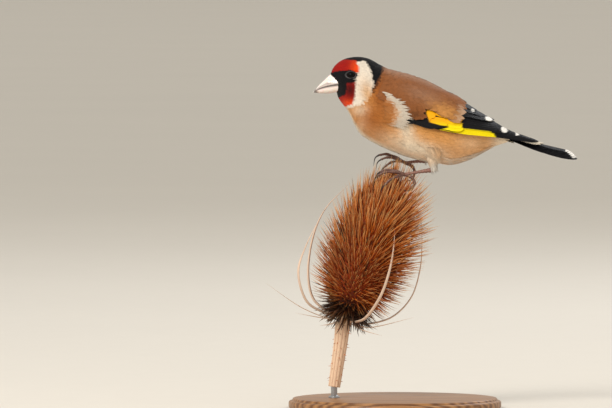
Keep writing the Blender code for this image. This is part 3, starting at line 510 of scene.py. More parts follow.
def grid_faces(rows, columns, closed=False):
    """Triangles over a grid of points, which may close round on itself across its columns."""
    across = columns if closed else columns - 1
    i, j = np.meshgrid(np.arange(rows - 1), np.arange(across), indexing="ij")
    a = i * columns + j
    b = i * columns + (j + 1) % columns
    c, d = a + columns, b + columns
    return np.concatenate([np.stack([a, c, b], -1).reshape(-1, 3), np.stack([b, c, d], -1).reshape(-1, 3)])


def lofted(rings):
    """Points and triangles of a closed body through like rings of points."""
    rings = np.asarray(rings, float)
    count, around = rings.shape[:2]
    points = np.vstack([rings.reshape(-1, 3), rings[0].mean(0), rings[-1].mean(0)])
    k = np.arange(around)
    n = (k + 1) % around
    first = np.stack([k, n, np.full(around, count * around)], -1)
    base = (count - 1) * around
    last = np.stack([base + n, base + k, np.full(around, count * around + 1)], -1)
    faces = np.concatenate([grid_faces(count, around, closed=True), first, last])
    a, b, c = (points[faces[:, m]] for m in range(3))
    if (a * np.cross(b, c)).sum() < 0:
        faces = faces[:, ::-1]
    return points, faces


def joined(parts):
    """One list each of points, triangles, tones and any further values, from several parts."""
    starts = np.cumsum([0] + [len(part[0]) for part in parts])
    faces = np.concatenate([np.asarray(part[1]) + start for part, start in zip(parts, starts)])
    tones = np.concatenate([np.broadcast_to(part[2], (len(part[0]), 3)) for part in parts])
    more = [np.concatenate(values) for values in zip(*(part[3:] for part in parts))]
    return (np.concatenate([part[0] for part in parts]), faces, tones, *more)


def path_frames(path):
    """Unit tangents of a path and two steady directions across it."""
    path = np.asarray(path, float)
    tangents = unit(np.gradient(path, axis=0))
    start = np.array((0.0, 0.0, 1.0)) if abs(tangents[0][2]) < 0.9 else np.array((1.0, 0.0, 0.0))
    across = []
    for tangent in tangents:
        start = unit(start - tangent * np.dot(start, tangent))
        across.append(start)
    across = np.array(across)
    return tangents, across, np.cross(tangents, across)


def tube(path, radius, sides):
    """Rings round a path. radius takes the share of the path and the turn round it."""
    _, up, other = path_frames(path)
    share, turn = crossed(np.linspace(0, 1, len(path)), full_turn(sides))
    reach = np.broadcast_to(radius(share, turn), share.shape)[..., None]
    spokes = up[:, None] * np.cos(turn)[..., None] + other[:, None] * np.sin(turn)[..., None]
    return np.asarray(path)[:, None] + spokes * reach


def smooth_path(knots, count):
    return between(np.asarray(knots, float), np.linspace(0, len(knots) - 1, count))


# Markings as outlines in the side view, x and z in millimetres. Each lies over the ones before it, and
# those that end at the bird's edge reach a little past it.
WHITE_HEAD = ((-36.0, 168.0), (-36.0, 139.0), (-25.5, 140.8), (-21.5, 141.8), (-16.0, 143.8),
              (-13.2, 145.8), (-11.9, 148.4), (-10.6, 152.9), (-9.6, 157.0), (-9.6, 168.0))
BLACK_NAPE = ((-25.2, 163.4), (-18.3, 163.2), (-14.2, 163.6), (-12.4, 160.4), (-11.2, 157.0),
              (-10.6, 152.9), (-11.2, 150.0), (-12.0, 147.6), (-10.7, 149.6), (-9.5, 152.1), (-8.5, 154.4),
              (-6.9, 156.8), (-6.1, 160.4), (-5.8, 165.0), (-12.0, 168.0), (-24.0, 168.0), (-27.5, 166.0))
BLACK_FACE = ((-36.0, 168.0), (-27.5, 168.0), (-25.4, 163.4), (-18.4, 160.0), (-17.6, 157.2), (-18.4, 154.8),
              (-19.8, 153.2), (-20.0, 148.0), (-22.0, 143.6), (-26.0, 140.5), (-36.0, 138.0))
RED_FOREHEAD = ((-32.0, 158.0), (-33.0, 161.0), (-27.0, 165.4), (-25.1, 164.0), (-22.0, 164.1),
                (-18.7, 163.7), (-17.5, 161.0), (-17.3, 158.4), (-18.4, 157.5), (-19.4, 158.7),
                (-21.0, 159.3), (-23.5, 159.1), (-26.8, 158.7), (-30.2, 158.0))
RED_THROAT = ((-23.0, 153.0), (-21.0, 153.3), (-18.9, 153.8), (-19.0, 150.5), (-19.3, 146.9), (-20.4, 143.5),
              (-23.5, 142.0), (-26.5, 143.6), (-27.6, 145.4), (-26.0, 146.6), (-23.6, 147.8),
              (-22.9, 150.5))
YELLOW_COVERTS = ((14.3, 139.6), (16.0, 135.2), (16.8, 134.5), (21.2, 133.3), (24.4, 132.9),
                  (24.4, 132.0), (31.5, 131.2), (31.0, 134.7), (31.0, 138.5), (22.0, 142.0), (16.0, 142.0))
YELLOW_BAND = ((19.3, 131.2), (24.4, 132.6), (32.0, 132.0), (43.7, 130.7), (46.1, 129.5), (46.8, 128.4),
               (46.4, 124.0), (28.0, 124.0), (19.0, 129.0))
BLACK_WEDGE = ((2.0, 138.0), (15.0, 135.9), (16.5, 134.9), (21.2, 133.6), (24.6, 133.2), (24.8, 132.4),
               (19.3, 131.3), (17.0, 128.0), (2.0, 130.0))
# White spots of the wing: middle, radii and tilt in degrees
WING_SPOTS = (((36.4, 140.4), (0.95, 0.65), -28), ((43.9, 136.3), (1.8, 0.95), -24),
              ((42.7, 138.3), (0.9, 0.4), -24), ((51.2, 131.3), (1.7, 1.3), -30),
              ((57.2, 129.2), (0.8, 0.7), 0), ((63.4, 128.3), (0.7, 0.6), 0))
# Outlines that hold the tips of the shoulder feathers, and the feathers off the bill
SHOULDER = ((-6.0, 146.0), (4.2, 142.6), (6.6, 139.4), (8.4, 137.0), (11.8, 136.3), (15.0, 136.2),
            (14.3, 139.8), (15.8, 141.2), (18.6, 140.3), (23.0, 137.8), (26.0, 136.3), (29.1, 135.0),
            (31.0, 133.8), (31.9, 136.4), (32.6, 140.2), (33.4, 144.5), (22.0, 153.5), (8.0, 160.0),
            (-6.0, 163.0))
BILL_BASE = ((-34.0, 160.0), (-31.0, 156.6), (-26.9, 153.4), (-26.1, 149.9), (-28.3, 148.6), (-34.0, 147.0))


def depth_inside(x, z, outline):
    """How far points lie inside an outline of the side view. Outside it, the distance is negative."""
    outline = np.asarray(outline, float)
    inside = np.zeros(np.shape(x), bool)
    nearest = np.full(np.shape(x), np.inf)
    for (ax, az), (bx, bz) in zip(outline, np.roll(outline, -1, axis=0)):
        crosses = (az > z) != (bz > z)
        inside ^= crosses & (x < ax + (z - az) * (bx - ax) / (bz - az + 1e-12))
        run_x, run_z = bx - ax, bz - az
        share = np.clip(((x - ax) * run_x + (z - az) * run_z) / (run_x ** 2 + run_z ** 2), 0, 1)
        nearest = np.minimum(nearest, np.hypot(x - ax - run_x * share, z - az - run_z * share))
    return np.where(inside, nearest, -nearest)


def patch(x, z, centre, radii, tilt=0.0):
    """A soft patch of the side view, 1 at its centre."""
    turn = math.radians(tilt)
    u = (x - centre[0]) * math.cos(turn) + (z - centre[1]) * math.sin(turn)
    v = -(x - centre[0]) * math.sin(turn) + (z - centre[1]) * math.cos(turn)
    return np.exp(-(u / radii[0]) ** 2 - (v / radii[1]) ** 2)


# Soft patches of the plumage in the side view, each over the ones before it: colour, weight, middle,
# radii and tilt in degrees
BREAST_PATCHES = (
    ("nape", 0.95, (-8.0, 146.5), (4.2, 9.5), 14),
    ("breast", 0.95, (-11.2, 137.0), (9.8, 10.2), 30),
    ("breast", 0.15, (27.0, 121.0), (13.0, 2.2), 10),
    ("belly", 0.9, (3.5, 133.5), (3.4, 10.0), 20),
    ("belly", 0.25, (-17.5, 131.0), (2.6, 6.0), -20),
    ("belly", 0.9, (9.0, 122.5), (15.0, 4.6), -16),
)
PALE_PATCHES = (
    ("belly", 0.3, (35.0, 125.0), (8.0, 5.0), 0),
    ("belly", 0.45, (-17.2, 141.0), (3.6, 2.6), 20),
    # the last patch is the vent's white down, made whiter still as painted light shining through it
    ("cheek", 0.95, (34.0, 115.4), (6.5, 3.0), 12),
)
SHOULDER_PATCHES = (
    # the first patch is painted sheen on the upper shoulder feathers
    ("mantle_sheen", 0.5, (14.0, 146.0), (9.0, 3.0), -24),
    ("shoulder_buff", 0.9, (24.5, 138.6), (7.5, 2.8), -25),
)
# The line from the throat to the root of the tail under which the underparts begin, as x and z
UNDERPARTS = ((-30, -8, 2, 8, 20, 34, 46, 60), (152, 150, 143, 136, 131, 130, 130, 131))


def with_patches(tones, points, patches):
    look = bpy.context.scene.goldfinch_plumage
    for colour, weight, *place in patches:
        tones = mix(tones, getattr(look, colour), weight * patch(points[..., 0], points[..., 2], *place))
    return tones


def plumage_tones(points, angle, softness=0.25):
    """The plumage's colours at points of the body."""
    look = bpy.context.scene.goldfinch_plumage
    x, z = points[..., 0], points[..., 2]
    down = np.abs(angle) / 180
    # painted sheen: the top of the back turns paler and greyer
    tones = mix(look.mantle, look.mantle_sheen, 0.7 * smooth_step(-down, -0.2, -0.02))
    tones = mix(tones, look.flank, smooth_step(np.interp(x, *UNDERPARTS) - z, -1.5, 1.5))
    tones = with_patches(tones, points, BREAST_PATCHES)
    tones = mix(tones, look.belly, 0.9 * smooth_step(down, 0.80, 0.93))
    # along the underside the grey white of the loose down, laid on also as painted shade under the belly
    tones = mix(tones, look.down, 0.6 * smooth_step(down, 0.9, 0.98))
    tones = with_patches(tones, points, PALE_PATCHES)
    tones = mix(tones, look.belly, 0.85 * smooth_step(x, 40, 50) * smooth_step(down, 0.2, 0.45))
    tones = mix(tones, look.belly, 0.8 * smooth_step(x, 30, 38) * smooth_step(-down, -0.42, -0.3))
    white = mix(look.cheek, look.cheek_shade, patch(x, z, (-13.4, 148.5), (3.0, 6.0), 15))
    bright = patch(x, z, (-18.2, 160.5), (2.6, 3.6)) + patch(x, z, (-22.0, 143.4), (3.6, 2.4))
    red = mix(look.crimson, look.scarlet, np.clip(bright, 0, 1))
    red = mix(red, look.maroon, patch(x, z, (-21.4, 150.2), (2.9, 3.8)))
    for outline, colour in ((WHITE_HEAD, white), (BLACK_NAPE, look.black), (BLACK_FACE, look.black),
                            (RED_FOREHEAD, red), (RED_THROAT, red)):
        tones = mix(tones, colour, smooth_step(depth_inside(x, z, outline), -softness, softness))
    return tones


# The left eye's middle in the side view, the eyeball's radius, how far its middle lies inside the face, and
# the lids' radii along and up the head
EYE_X, EYE_Z = -20.8, 157.0
EYE_RADIUS, EYE_SINK = 2.2, 1.35
LID_RADII = (2.1, 1.56)
# The lids in section from the face to the eyeball: share of the lids' radii, height over the eyeball or the
# face, and how dark they are
LID_SECTION = ((1.5, -0.9, 1.0), (1.32, -0.35, 1.0), (1.2, 0.0, 1.0), (1.13, 0.08, 0.9), (1.09, 0.03, 1.0),
               (1.06, 0.07, 0.2), (1.03, 0.12, 0.0), (1.0, 0.12, 0.0), (0.97, 0.07, 0.4), (0.94, -0.1, 1.0))


def eye_seat(side):
    """The point on the face at the eye's middle, and the way out of the head there."""
    rows, angles = crossed(np.linspace(1.5, 3.5, 161), np.linspace(20, 110, 361))
    spots = BODY.bare(rows, angles)
    best = np.argmin((spots[..., 0] - EYE_X) ** 2 + (spots[..., 2] - EYE_Z) ** 2)
    row, angle = rows.flat[best], side * angles.flat[best]
    out = unit(BODY.normal(row, angle) + np.array((0.0, side * 0.8, 0.0)))
    return BODY.point(row, angle), out


def barb_template(barbs, looseness, pointed):
    """A feather's barbed blade: its points as (along, across, ridge), and its triangles.

    Along and across are shares of its length and half width, and ridge is 1 on the shaft and -1 under it.
    The upper side's triangles come first, and their number comes last.
    """

    def outline(along):
        grown = 0.45 + 0.55 * np.sin(np.minimum(along / 0.45, 1) * math.pi / 2)
        past = np.clip((along - 0.5) / 0.5, 0, 1)
        return grown * (1 - past ** (2.6 - pointed)) ** (0.5 + 0.5 * pointed)

    points = [(k / barbs, 0.0, 1.0) for k in range(barbs + 1)]
    under = {}
    for k in range(barbs):
        under[k] = len(points)
        points.append((k / barbs, 0.0, -1.0))
    edge = {}
    for side in (-1, 1):
        for k in range(barbs):
            station = k / barbs
            notch_along = station + 0.1 * (1 - station)
            notch = outline(notch_along) * (1 - looseness * (0.3 + 0.7 * station))
            edge[side, "notch", k] = len(points)
            points.append((notch_along, side * notch * (0.5 if k == 0 else 1.0), 0.0))
            tip_along = min(station + 1 / barbs + 0.12 * (1 - station), 0.995 - 0.04 * (k == barbs - 1))
            edge[side, "tip", k] = len(points)
            points.append((tip_along, side * max(outline(tip_along), 0.12), 0.0))
    top, low = [], []
    for side in (-1, 1):
        for k in range(barbs):
            notch, tip = edge[side, "notch", k], edge[side, "tip", k]
            after = edge[side, "notch", k + 1] if k + 1 < barbs else None
            for layer, here, there in ((top, k, k + 1), (low, under[k], under.get(k + 1, barbs))):
                made = [(here, notch, tip), (here, tip, there)]
                if after is not None:
                    made[1] = (here, tip, after)
                    made.append((here, after, there))
                flip = (side == 1) == (layer is top)
                layer.extend(reversed(face) if flip else face for face in made)
    low.append((0, under[0], edge[-1, "notch", 0]))
    low.append((under[0], 0, edge[1, "notch", 0]))
    faces = np.array([tuple(face) for face in top + low], np.int32)
    return np.array(points), faces, len(top)


BAKE_PATCH = 0.003  # the side of a tuft's patch on the bake map
# Of a body feather: the height of its shaft as a share of its width, how far its sides bend down, the place
# along it whose colour it takes, the painted shade that darkens its root, and how far colours change within
# it
SHAFT_RIDGE, CUP, TONE_PLACE, ROOT_SHADE, BLEND = 0.022, 0.03, 0.6, 0.9, 0.35


def own_normals(points, faces):
    """The normals of like meshes at their own points."""
    own = np.zeros_like(points)
    corners = points[:, faces]
    flat = np.cross(corners[:, :, 1] - corners[:, :, 0], corners[:, :, 2] - corners[:, :, 0])
    for corner in range(3):
        np.add.at(own, (slice(None), faces[:, corner]), flat)
    return unit(own)


def bake_corners(home, shape, faces, top_count):
    """Places of the triangles' corners on the bake map, where a tuft's two sides lie side by side."""
    half = BAKE_PATCH / 2
    patch_x = np.where(np.arange(len(faces))[:, None] < top_count, 0.0, half * 1.05)
    corner_x = (shape[:, 1][faces] * 0.5 + 0.5) * half * 0.9 + patch_x
    corner_y = shape[:, 0][faces] * BAKE_PATCH * 0.95
    corners = np.stack([corner_x, corner_y], -1).reshape(1, -1, 2)
    return (home[:, None] - half + corners).reshape(-1, 2)


def tufts(sheet, row, angle, length, width, lift, barbs, looseness, rng, pointed=0.2, heading=0.0,
          tone=None, tip_tone=None, tip_share=0.0, softness=0.85, spread=0.06, settle=2.2):
    """Barbed feathers on a sheet, from their roots' places. Sizes are in millimetres, one for each.

    lift is the height of their roots and of their tips off the sheet, and heading turns them, in degrees.
    softness is how far their normals follow the sheet's, spread how much their tones differ, and settle how
    soon they lie flat.
    Returns points, triangles, tones, places on the blade, normals, and the places of the triangles' corners
    on the bake map.
    """
    count = len(row)
    shape, faces, top_count = barb_template(barbs, looseness, pointed)
    along, across, ridge = (shape[:, k][None] for k in range(3))
    heading = np.radians(np.broadcast_to(heading, count) + rng.normal(0, 5, count))[:, None]
    run, _ = sheet.slopes(row, angle)
    normal = sheet.normal(row, angle)
    run = unit(run)
    side = np.cross(normal, run)
    forward = run * np.cos(heading) + side * np.sin(heading)
    sideways = np.cross(normal, forward)
    length = np.broadcast_to(length, count)[:, None] * rng.uniform(0.88, 1.12, (count, 1))
    width = np.broadcast_to(width, count)[:, None] * rng.uniform(0.9, 1.1, (count, 1))
    edge = (ridge == 0) & (along > 0.2)
    bend = rng.normal(0, 0.05, (count, 1)) * length
    step_along = (along + edge * rng.normal(0, 0.12 / barbs, (count, shape.shape[0]))) * length
    step_across = across * width / 2 * (1 + edge * rng.normal(0, 0.1, (count, shape.shape[0])))
    own_number = np.broadcast_to(rng.random((count, 1)), step_along.shape)
    blade = np.stack([step_along, np.abs(step_across), own_number], -1)
    step_across = step_across + bend * along ** 2
    step = forward[:, None] * step_along[..., None] + sideways[:, None] * step_across[..., None]
    rows, angles = sheet.moved(row[:, None], angle[:, None], step)
    low, high = (np.broadcast_to(value, count)[:, None] for value in lift)
    high = high + rng.normal(0, 0.012, (count, 1)) * width
    height = low + (high - low) * (1 - (1 - along) ** settle)
    height = height - CUP * across ** 2 * width / 2
    height = height + ridge * SHAFT_RIDGE * width
    height = height + edge * rng.normal(0, 0.012, (count, shape.shape[0])) * width
    points = sheet.point(rows, angles, height)
    if tone is None:
        nearest = np.argmin(np.abs(shape[:, 0] - TONE_PLACE) + 2 * np.abs(shape[:, 1]))
        tone = plumage_tones(points[:, nearest], angles[:, nearest], 0.15)
        tones = mix(tone[:, None], plumage_tones(points, angles, 0.15), np.array(BLEND))
    else:
        tones = np.repeat(np.broadcast_to(tone, (count, 3))[:, None], shape.shape[0], 1)
    tones = tones * rng.uniform(1 - spread, 1 + spread, (count, 1, 1))
    if tip_tone is not None:
        share = smooth_step(along, 1 - tip_share, 1 - tip_share * 0.4)
        tones = mix(tones, tip_tone, np.broadcast_to(share, tones.shape[:2]))
    # painted shade: each feather is darker at its root, where the feathers over it shade it
    shade = ROOT_SHADE + (1 - ROOT_SHADE) * smooth_step(along, 0.05, 0.6)
    shade = shade * (1 + edge * rng.normal(0, 0.07, (count, shape.shape[0])))
    tones = tones * shade[..., None]
    smooth = sheet.normal(rows, angles) * np.where(ridge < 0, -1.0, 1.0)[..., None]
    normals = unit(own_normals(points, faces) * (1 - softness) + smooth * softness)
    starts = np.arange(count) * shape.shape[0]
    all_faces = (faces[None] + starts[:, None, None]).reshape(-1, 3)
    bake = bake_corners(sheet.unwrap(row, angle), shape, faces, top_count)
    points, tones, blade, normals = (values.reshape(-1, 3) for values in (points, tones, blade, normals))
    return points, all_faces, tones, blade, normals, bake


def staggered(sheet, first_row, last_row, along_gap, across_gap, rng, angles=(-180.0, 180.0)):
    """Places in staggered rings over a stretch of a sheet, about the given gaps apart."""
    rows, turns = [], []
    row, odd = first_row, False
    low, high = angles
    while row < last_row:
        sweep = np.linspace(low, high, 145)
        ring = sheet.bare(np.full(len(sweep), row), sweep)
        reach = np.concatenate([[0], np.cumsum(np.linalg.norm(np.diff(ring, axis=0), axis=1))])
        gap = across_gap(row) if callable(across_gap) else across_gap
        count = max(3, round(reach[-1] / gap))
        spots = (np.arange(count) + (0.25 if odd else 0.75)) / count * reach[-1]
        spots = spots + rng.normal(0, 0.12, count) * gap
        turns.append(np.interp(spots, reach, sweep))
        run, _ = sheet.slopes(np.full(9, row), np.linspace(low, high, 9))
        pace = np.linalg.norm(run, axis=1).mean()
        gap = along_gap(row) if callable(along_gap) else along_gap
        rows.append(row + rng.normal(0, 0.12, count) * gap / pace)
        row += gap / pace
        odd = not odd
    return np.concatenate(rows), np.concatenate(turns)


# Sizes of the body feathers by row: gap along, gap across, length and width, in millimetres
COAT_ROWS = (0.0, 1.5, 3.0, 4.3, 6.0, 8.0, 11.0, 14.0)
COAT_SIZES = {
    "along": (0.50, 0.55, 0.62, 0.80, 1.15, 1.35, 1.4, 1.3),
    "across": (0.45, 0.50, 0.56, 0.75, 1.1, 1.3, 1.35, 1.2),
    "length": (1.5, 2.0, 2.5, 3.6, 5.2, 6.4, 7.2, 7.0),
    "width": (0.6, 0.75, 0.9, 1.3, 2.1, 2.5, 2.7, 2.5),
}


def coat_size(kind, row):
    return np.interp(row, COAT_ROWS, COAT_SIZES[kind])


def skin_depth(row):
    look = bpy.context.scene.goldfinch_plumage
    face, body = look.face_depth / MM, look.skin_depth / MM
    return np.interp(row, (0.0, 2.5, 6.0, 14.0), (face * 0.6, face, body, body))


def clear_of_eyes(points, margin):
    """Which points keep off the eyelids by a margin in millimetres."""
    keep = np.ones(len(points), bool)
    for side in SIDES.values():
        seat, out = eye_seat(side)
        away = points - seat
        away = away - dot(away, out)[:, None] * out
        wide, high = (radius * 1.1 + margin for radius in LID_RADII)
        flat = np.hypot(away[:, 0] / wide, away[:, 2] / high)
        keep &= (flat > 1) | (points[:, 1] * side < 0)
    return keep


# The middle lines of the thighs, and their radii at these points
THIGH_RADII = (2.2, 2.7, 1.9)
THIGHS = {
    "left": ((15.6, -5.8, 123.5), (17.3, -6.4, 118.5), (18.0, -7.1, 114.0)),
    "right": ((12.7, 7.2, 124.0), (14.3, 7.3, 120.8), (14.9, 7.3, 117.9)),
}


def limb_of(name):
    return Limb(THIGHS[name], THIGH_RADII, (0.86, 0.9 if name == "left" else 0.98))


def united(body, others):
    """Makes one closed mesh of a body and others that reach into it."""
    group = bpy.data.collections.new("thighs")
    bpy.context.scene.collection.children.link(group)
    for other in others:
        bpy.context.scene.collection.objects.unlink(other)
        group.objects.link(other)
    union = body.modifiers.new("thighs", "BOOLEAN")
    union.operation = "UNION"
    union.operand_type = "COLLECTION"
    union.collection = group
    union.solver = "MANIFOLD"
    graph = bpy.context.evaluated_depsgraph_get()
    mesh = bpy.data.meshes.new_from_object(body.evaluated_get(graph))
    body.modifiers.clear()
    body.data = mesh
    for other in others:
        bpy.data.objects.remove(other)
    bpy.data.collections.remove(group)
    return mesh


def build_skin():
    """One skin for head, neck, body and thighs, under the feathers."""
    look = feather_material()
    rows, angles = crossed(np.linspace(0.02, TAIL_ROOT, 141), np.arange(-180, 180, 5.0))
    skin = mesh_piece("skin", *lofted(BODY.point(rows, angles, -skin_depth(rows))), look)
    along, turns = crossed(np.linspace(0, 0.93, 15), np.arange(-180, 180, 15.0))
    sunk = np.full(along.shape, -0.7)
    thighs = [mesh_piece("thigh", *lofted(limb_of(name).point(along, turns, sunk)), look) for name in SIDES]
    mesh = united(skin, thighs)
    spots = np.zeros(len(mesh.vertices) * 3)
    mesh.vertices.foreach_get("co", spots)
    spots = spots.reshape(-1, 3) / MM
    angle = np.degrees(np.arctan2(spots[:, 1], spots[:, 2] - 140))
    layer = mesh.color_attributes.new("tone", "FLOAT_COLOR", "POINT")
    values = np.ones((len(spots), 4), np.float32)
    # the skin takes the plumage's colours, darkened as painted shade under the feathers
    values[:, :3] = plumage_tones(spots, angle, 0.4) * 0.7
    layer.data.foreach_set("color", values.ravel())
    mesh.shade_smooth()
    hold(skin, "plumage", "head", "neck", "torso", "thigh_left", "thigh_right")


MOST_TRIANGLES = 200000


def coat_piece(name, slot, batches):
    """One piece of the coat from batches of feathers."""
    points, faces, *values = joined(batches)
    if len(faces) >= MOST_TRIANGLES:
        raise RuntimeError(f"{name} has {len(faces)} triangles")
    return hold(mesh_piece(name, points, faces, feather_material(), *values), slot)


# Bands of the coat: name, slot, first and last row, barbs a side and how loose the barbs are
COAT_BANDS = (
    ("coat_face", "mask", 0.06, 1.75, 6, 0.25),
    ("coat_crown", "mask", 1.75, 3.1, 6, 0.25),
    ("coat_cheeks", "mask", 3.1, 4.5, 7, 0.3),
    ("coat_neck", "plumage", 4.5, 6.2, 10, 0.35),
    ("coat_shoulders", "breast", 6.2, 8.2, 12, 0.4),
    ("coat_flanks", "breast", 8.2, 11.0, 12, 0.4),
    ("coat_rump", "breast", 11.0, 13.6, 12, 0.4),
)
# What the folded wings hide: from row, to row, from angle, to angle
UNDER_WINGS = ((8.6, 11.6, 34, 82), (7.6, 8.6, 48, 84))


def build_coat():
    """The feathers of the head and body, in bands of overlapping staggered rings."""
    density = bpy.context.scene.goldfinch_plumage.density
    scale = 1 / math.sqrt(density)
    for number, (name, slot, first, last, barbs, loose) in enumerate(COAT_BANDS):
        rng = np.random.default_rng(20 + number)
        row, angle = staggered(BODY, first, last, lambda place: coat_size("along", place) * scale,
                               lambda place: coat_size("across", place) * scale, rng)
        covered = np.zeros(len(row), bool)
        for from_row, to_row, near, far in UNDER_WINGS:
            covered |= (row > from_row) & (row <= to_row) & (np.abs(angle) > near) & (np.abs(angle) < far)
        row, angle = row[~covered], angle[~covered]
        length = coat_size("length", row)
        run, _ = BODY.slopes(row, angle)
        tip = BODY.point(row + length / np.linalg.norm(run, axis=1), angle)
        root = BODY.point(row, angle)
        keep = clear_of_eyes(root, 0.2) & clear_of_eyes(tip, 0.0) & clear_of_eyes((root + tip) / 2, 0.1)
        keep &= depth_inside(root[:, 0], root[:, 2], BILL_BASE) < 0
        row, angle, length = row[keep], angle[keep], length[keep]
        depth = skin_depth(row)
        high = np.where(row < NECK_ROW, 0.0, -0.1)
        # the last feathers are short, so that they end where the tail begins
        length = np.minimum(length, np.maximum(14.2 - row, 0.3) * 6.5)
        coat_piece(name, slot, [tufts(BODY, row, angle, length, coat_size("width", row),
                                      (-depth * 1.05, high), barbs, loose, rng)])


def shown_at(sheet, x, z, row, angle):
    """The places on a sheet that show at points of the side view, from first guesses."""
    for _ in range(20):
        spot = sheet.bare(row, angle)
        along, around = sheet.slopes(row, angle)
        miss_x, miss_z = x - spot[..., 0], z - spot[..., 2]
        spread = along[..., 0] * around[..., 2] - around[..., 0] * along[..., 2]
        row = row + np.clip((miss_x * around[..., 2] - miss_z * around[..., 0]) / spread, -0.5, 0.5)
        angle = angle + np.clip((along[..., 0] * miss_z - along[..., 2] * miss_x) / spread, -8, 8)
    return row, angle


def thigh_tufts(name, rng):
    """The loose feathers round a thigh."""
    limb = limb_of(name)
    row, angle = staggered(limb, 0.2, 0.98, 0.7, 0.75, rng)
    tone = plumage_tones(limb.point(row, angle), np.full(len(row), 150.0))
    tone = mix(tone, bpy.context.scene.goldfinch_plumage.down, smooth_step(row, 0.4, 0.8))
    return tufts(limb, row, angle, 4.6 - 1.6 * row, 1.3 - 0.5 * row, (-0.8, 0.05), 7, 0.7, rng, pointed=0.9,
                 tone=tone, spread=0.12)


def belly_fall(name, rng):
    """The feathers of the belly that fall over the top of a thigh."""
    count = 110
    middle_x, _, middle_z = THIGHS[name][1]
    x = middle_x - 0.9 + rng.uniform(-4.6, 4.6, count)
    z = middle_z + rng.uniform(0.4, 5.0, count)
    row, angle = shown_at(BODY, x, z, np.full(count, 9.5), np.full(count, SIDES[name] * 125.0))
    run = unit(BODY.slopes(row, angle)[0])
    across = np.cross(BODY.normal(row, angle), run)
    fall = np.array((0.45, 0.0, -1.0)) + (middle_x + 0.6 - x)[:, None] * np.array((0.12, 0.0, 0.0))
    heading = np.degrees(np.arctan2(dot(fall, across), dot(fall, run)))
    tone = mix(plumage_tones(BODY.point(row, angle), angle), bpy.context.scene.goldfinch_plumage.down,
               0.5 * smooth_step(-z, -middle_z - 3, -middle_z))
    near = 1 - smooth_step(np.abs(x - middle_x + 0.4), 1.5, 4.4)
    return tufts(BODY, row, angle, 4.4, 1.5, (-0.4, 0.1 + 1.9 * near), 8, 0.5, rng, pointed=0.8,
                 heading=heading, tone=tone, spread=0.1, settle=1.3)


def build_thigh_coat():
    """The loose pale feathers of the thighs, with the belly's over their tops."""
    for name, side in SIDES.items():
        rng = np.random.default_rng(60 + side)
        coat_piece("coat_thigh_" + name, "down", [thigh_tufts(name, rng), belly_fall(name, rng)])


def build_vent():
    """The loose grey white feathers under the rear of the belly."""
    look = bpy.context.scene.goldfinch_plumage
    rng = np.random.default_rng(65)
    row, angle = staggered(BODY, 10.1, 12.6, 1.1, 1.0, rng, angles=(143.0, 217.0))
    tone = mix(plumage_tones(BODY.point(row, angle), np.full(len(row), 150.0)), look.down,
               np.clip(rng.uniform(0.1, 0.9, len(row)) * (1.4 - np.abs(angle - 180) / 40), 0, 1))
    batch = tufts(BODY, row, angle, 6.5, 1.4, (-0.6, 0.3), 10, 0.6, rng, pointed=1.0, tone=tone, spread=0.12,
                  softness=0.7)
    coat_piece("coat_vent", "down", [batch])


# The pale feathers over the bend of a folded wing, from the top down: the x and z of their tips in the side
# view, and their lengths
FRINGE = ((-3.2, 148.0, 3.2), (-0.9, 146.6, 4.0), (2.0, 144.0, 5.0), (4.0, 142.8, 6.0), (5.6, 141.0, 6.8),
          (6.6, 139.0, 7.0), (7.6, 137.4, 7.0), (7.8, 135.8, 6.8), (6.9, 134.2, 6.2), (6.0, 132.8, 5.4),
          (4.6, 131.6, 4.6))
FRINGE_FALL = 20.0  # degrees under the line to the tail
# Layers of those feathers: how far back their tips lie, count and width
FRINGE_LAYERS = ((0.0, 18, 0.6), (0.4, 19, 0.7), (1.1, 26, 0.95), (1.9, 26, 1.1), (2.7, 26, 1.2),
                 (3.5, 26, 1.3), (4.3, 25, 1.4), (5.1, 24, 1.4), (5.9, 23, 1.5), (6.7, 22, 1.5),
                 (7.5, 22, 1.5), (8.3, 21, 1.5))
# How high they lie off the wing's sheet, as rows and heights, and how that falls off towards the lower end
FRINGE_RISE = ((5.4, 6.0, 6.6, 7.2, 7.6, 8.1), (0.5, 0.85, 1.3, 1.75, 2.05, 2.45))
FRINGE_BULGE = ((0.62, 0.8, 1.0), (1.0, 0.8, 0.35))


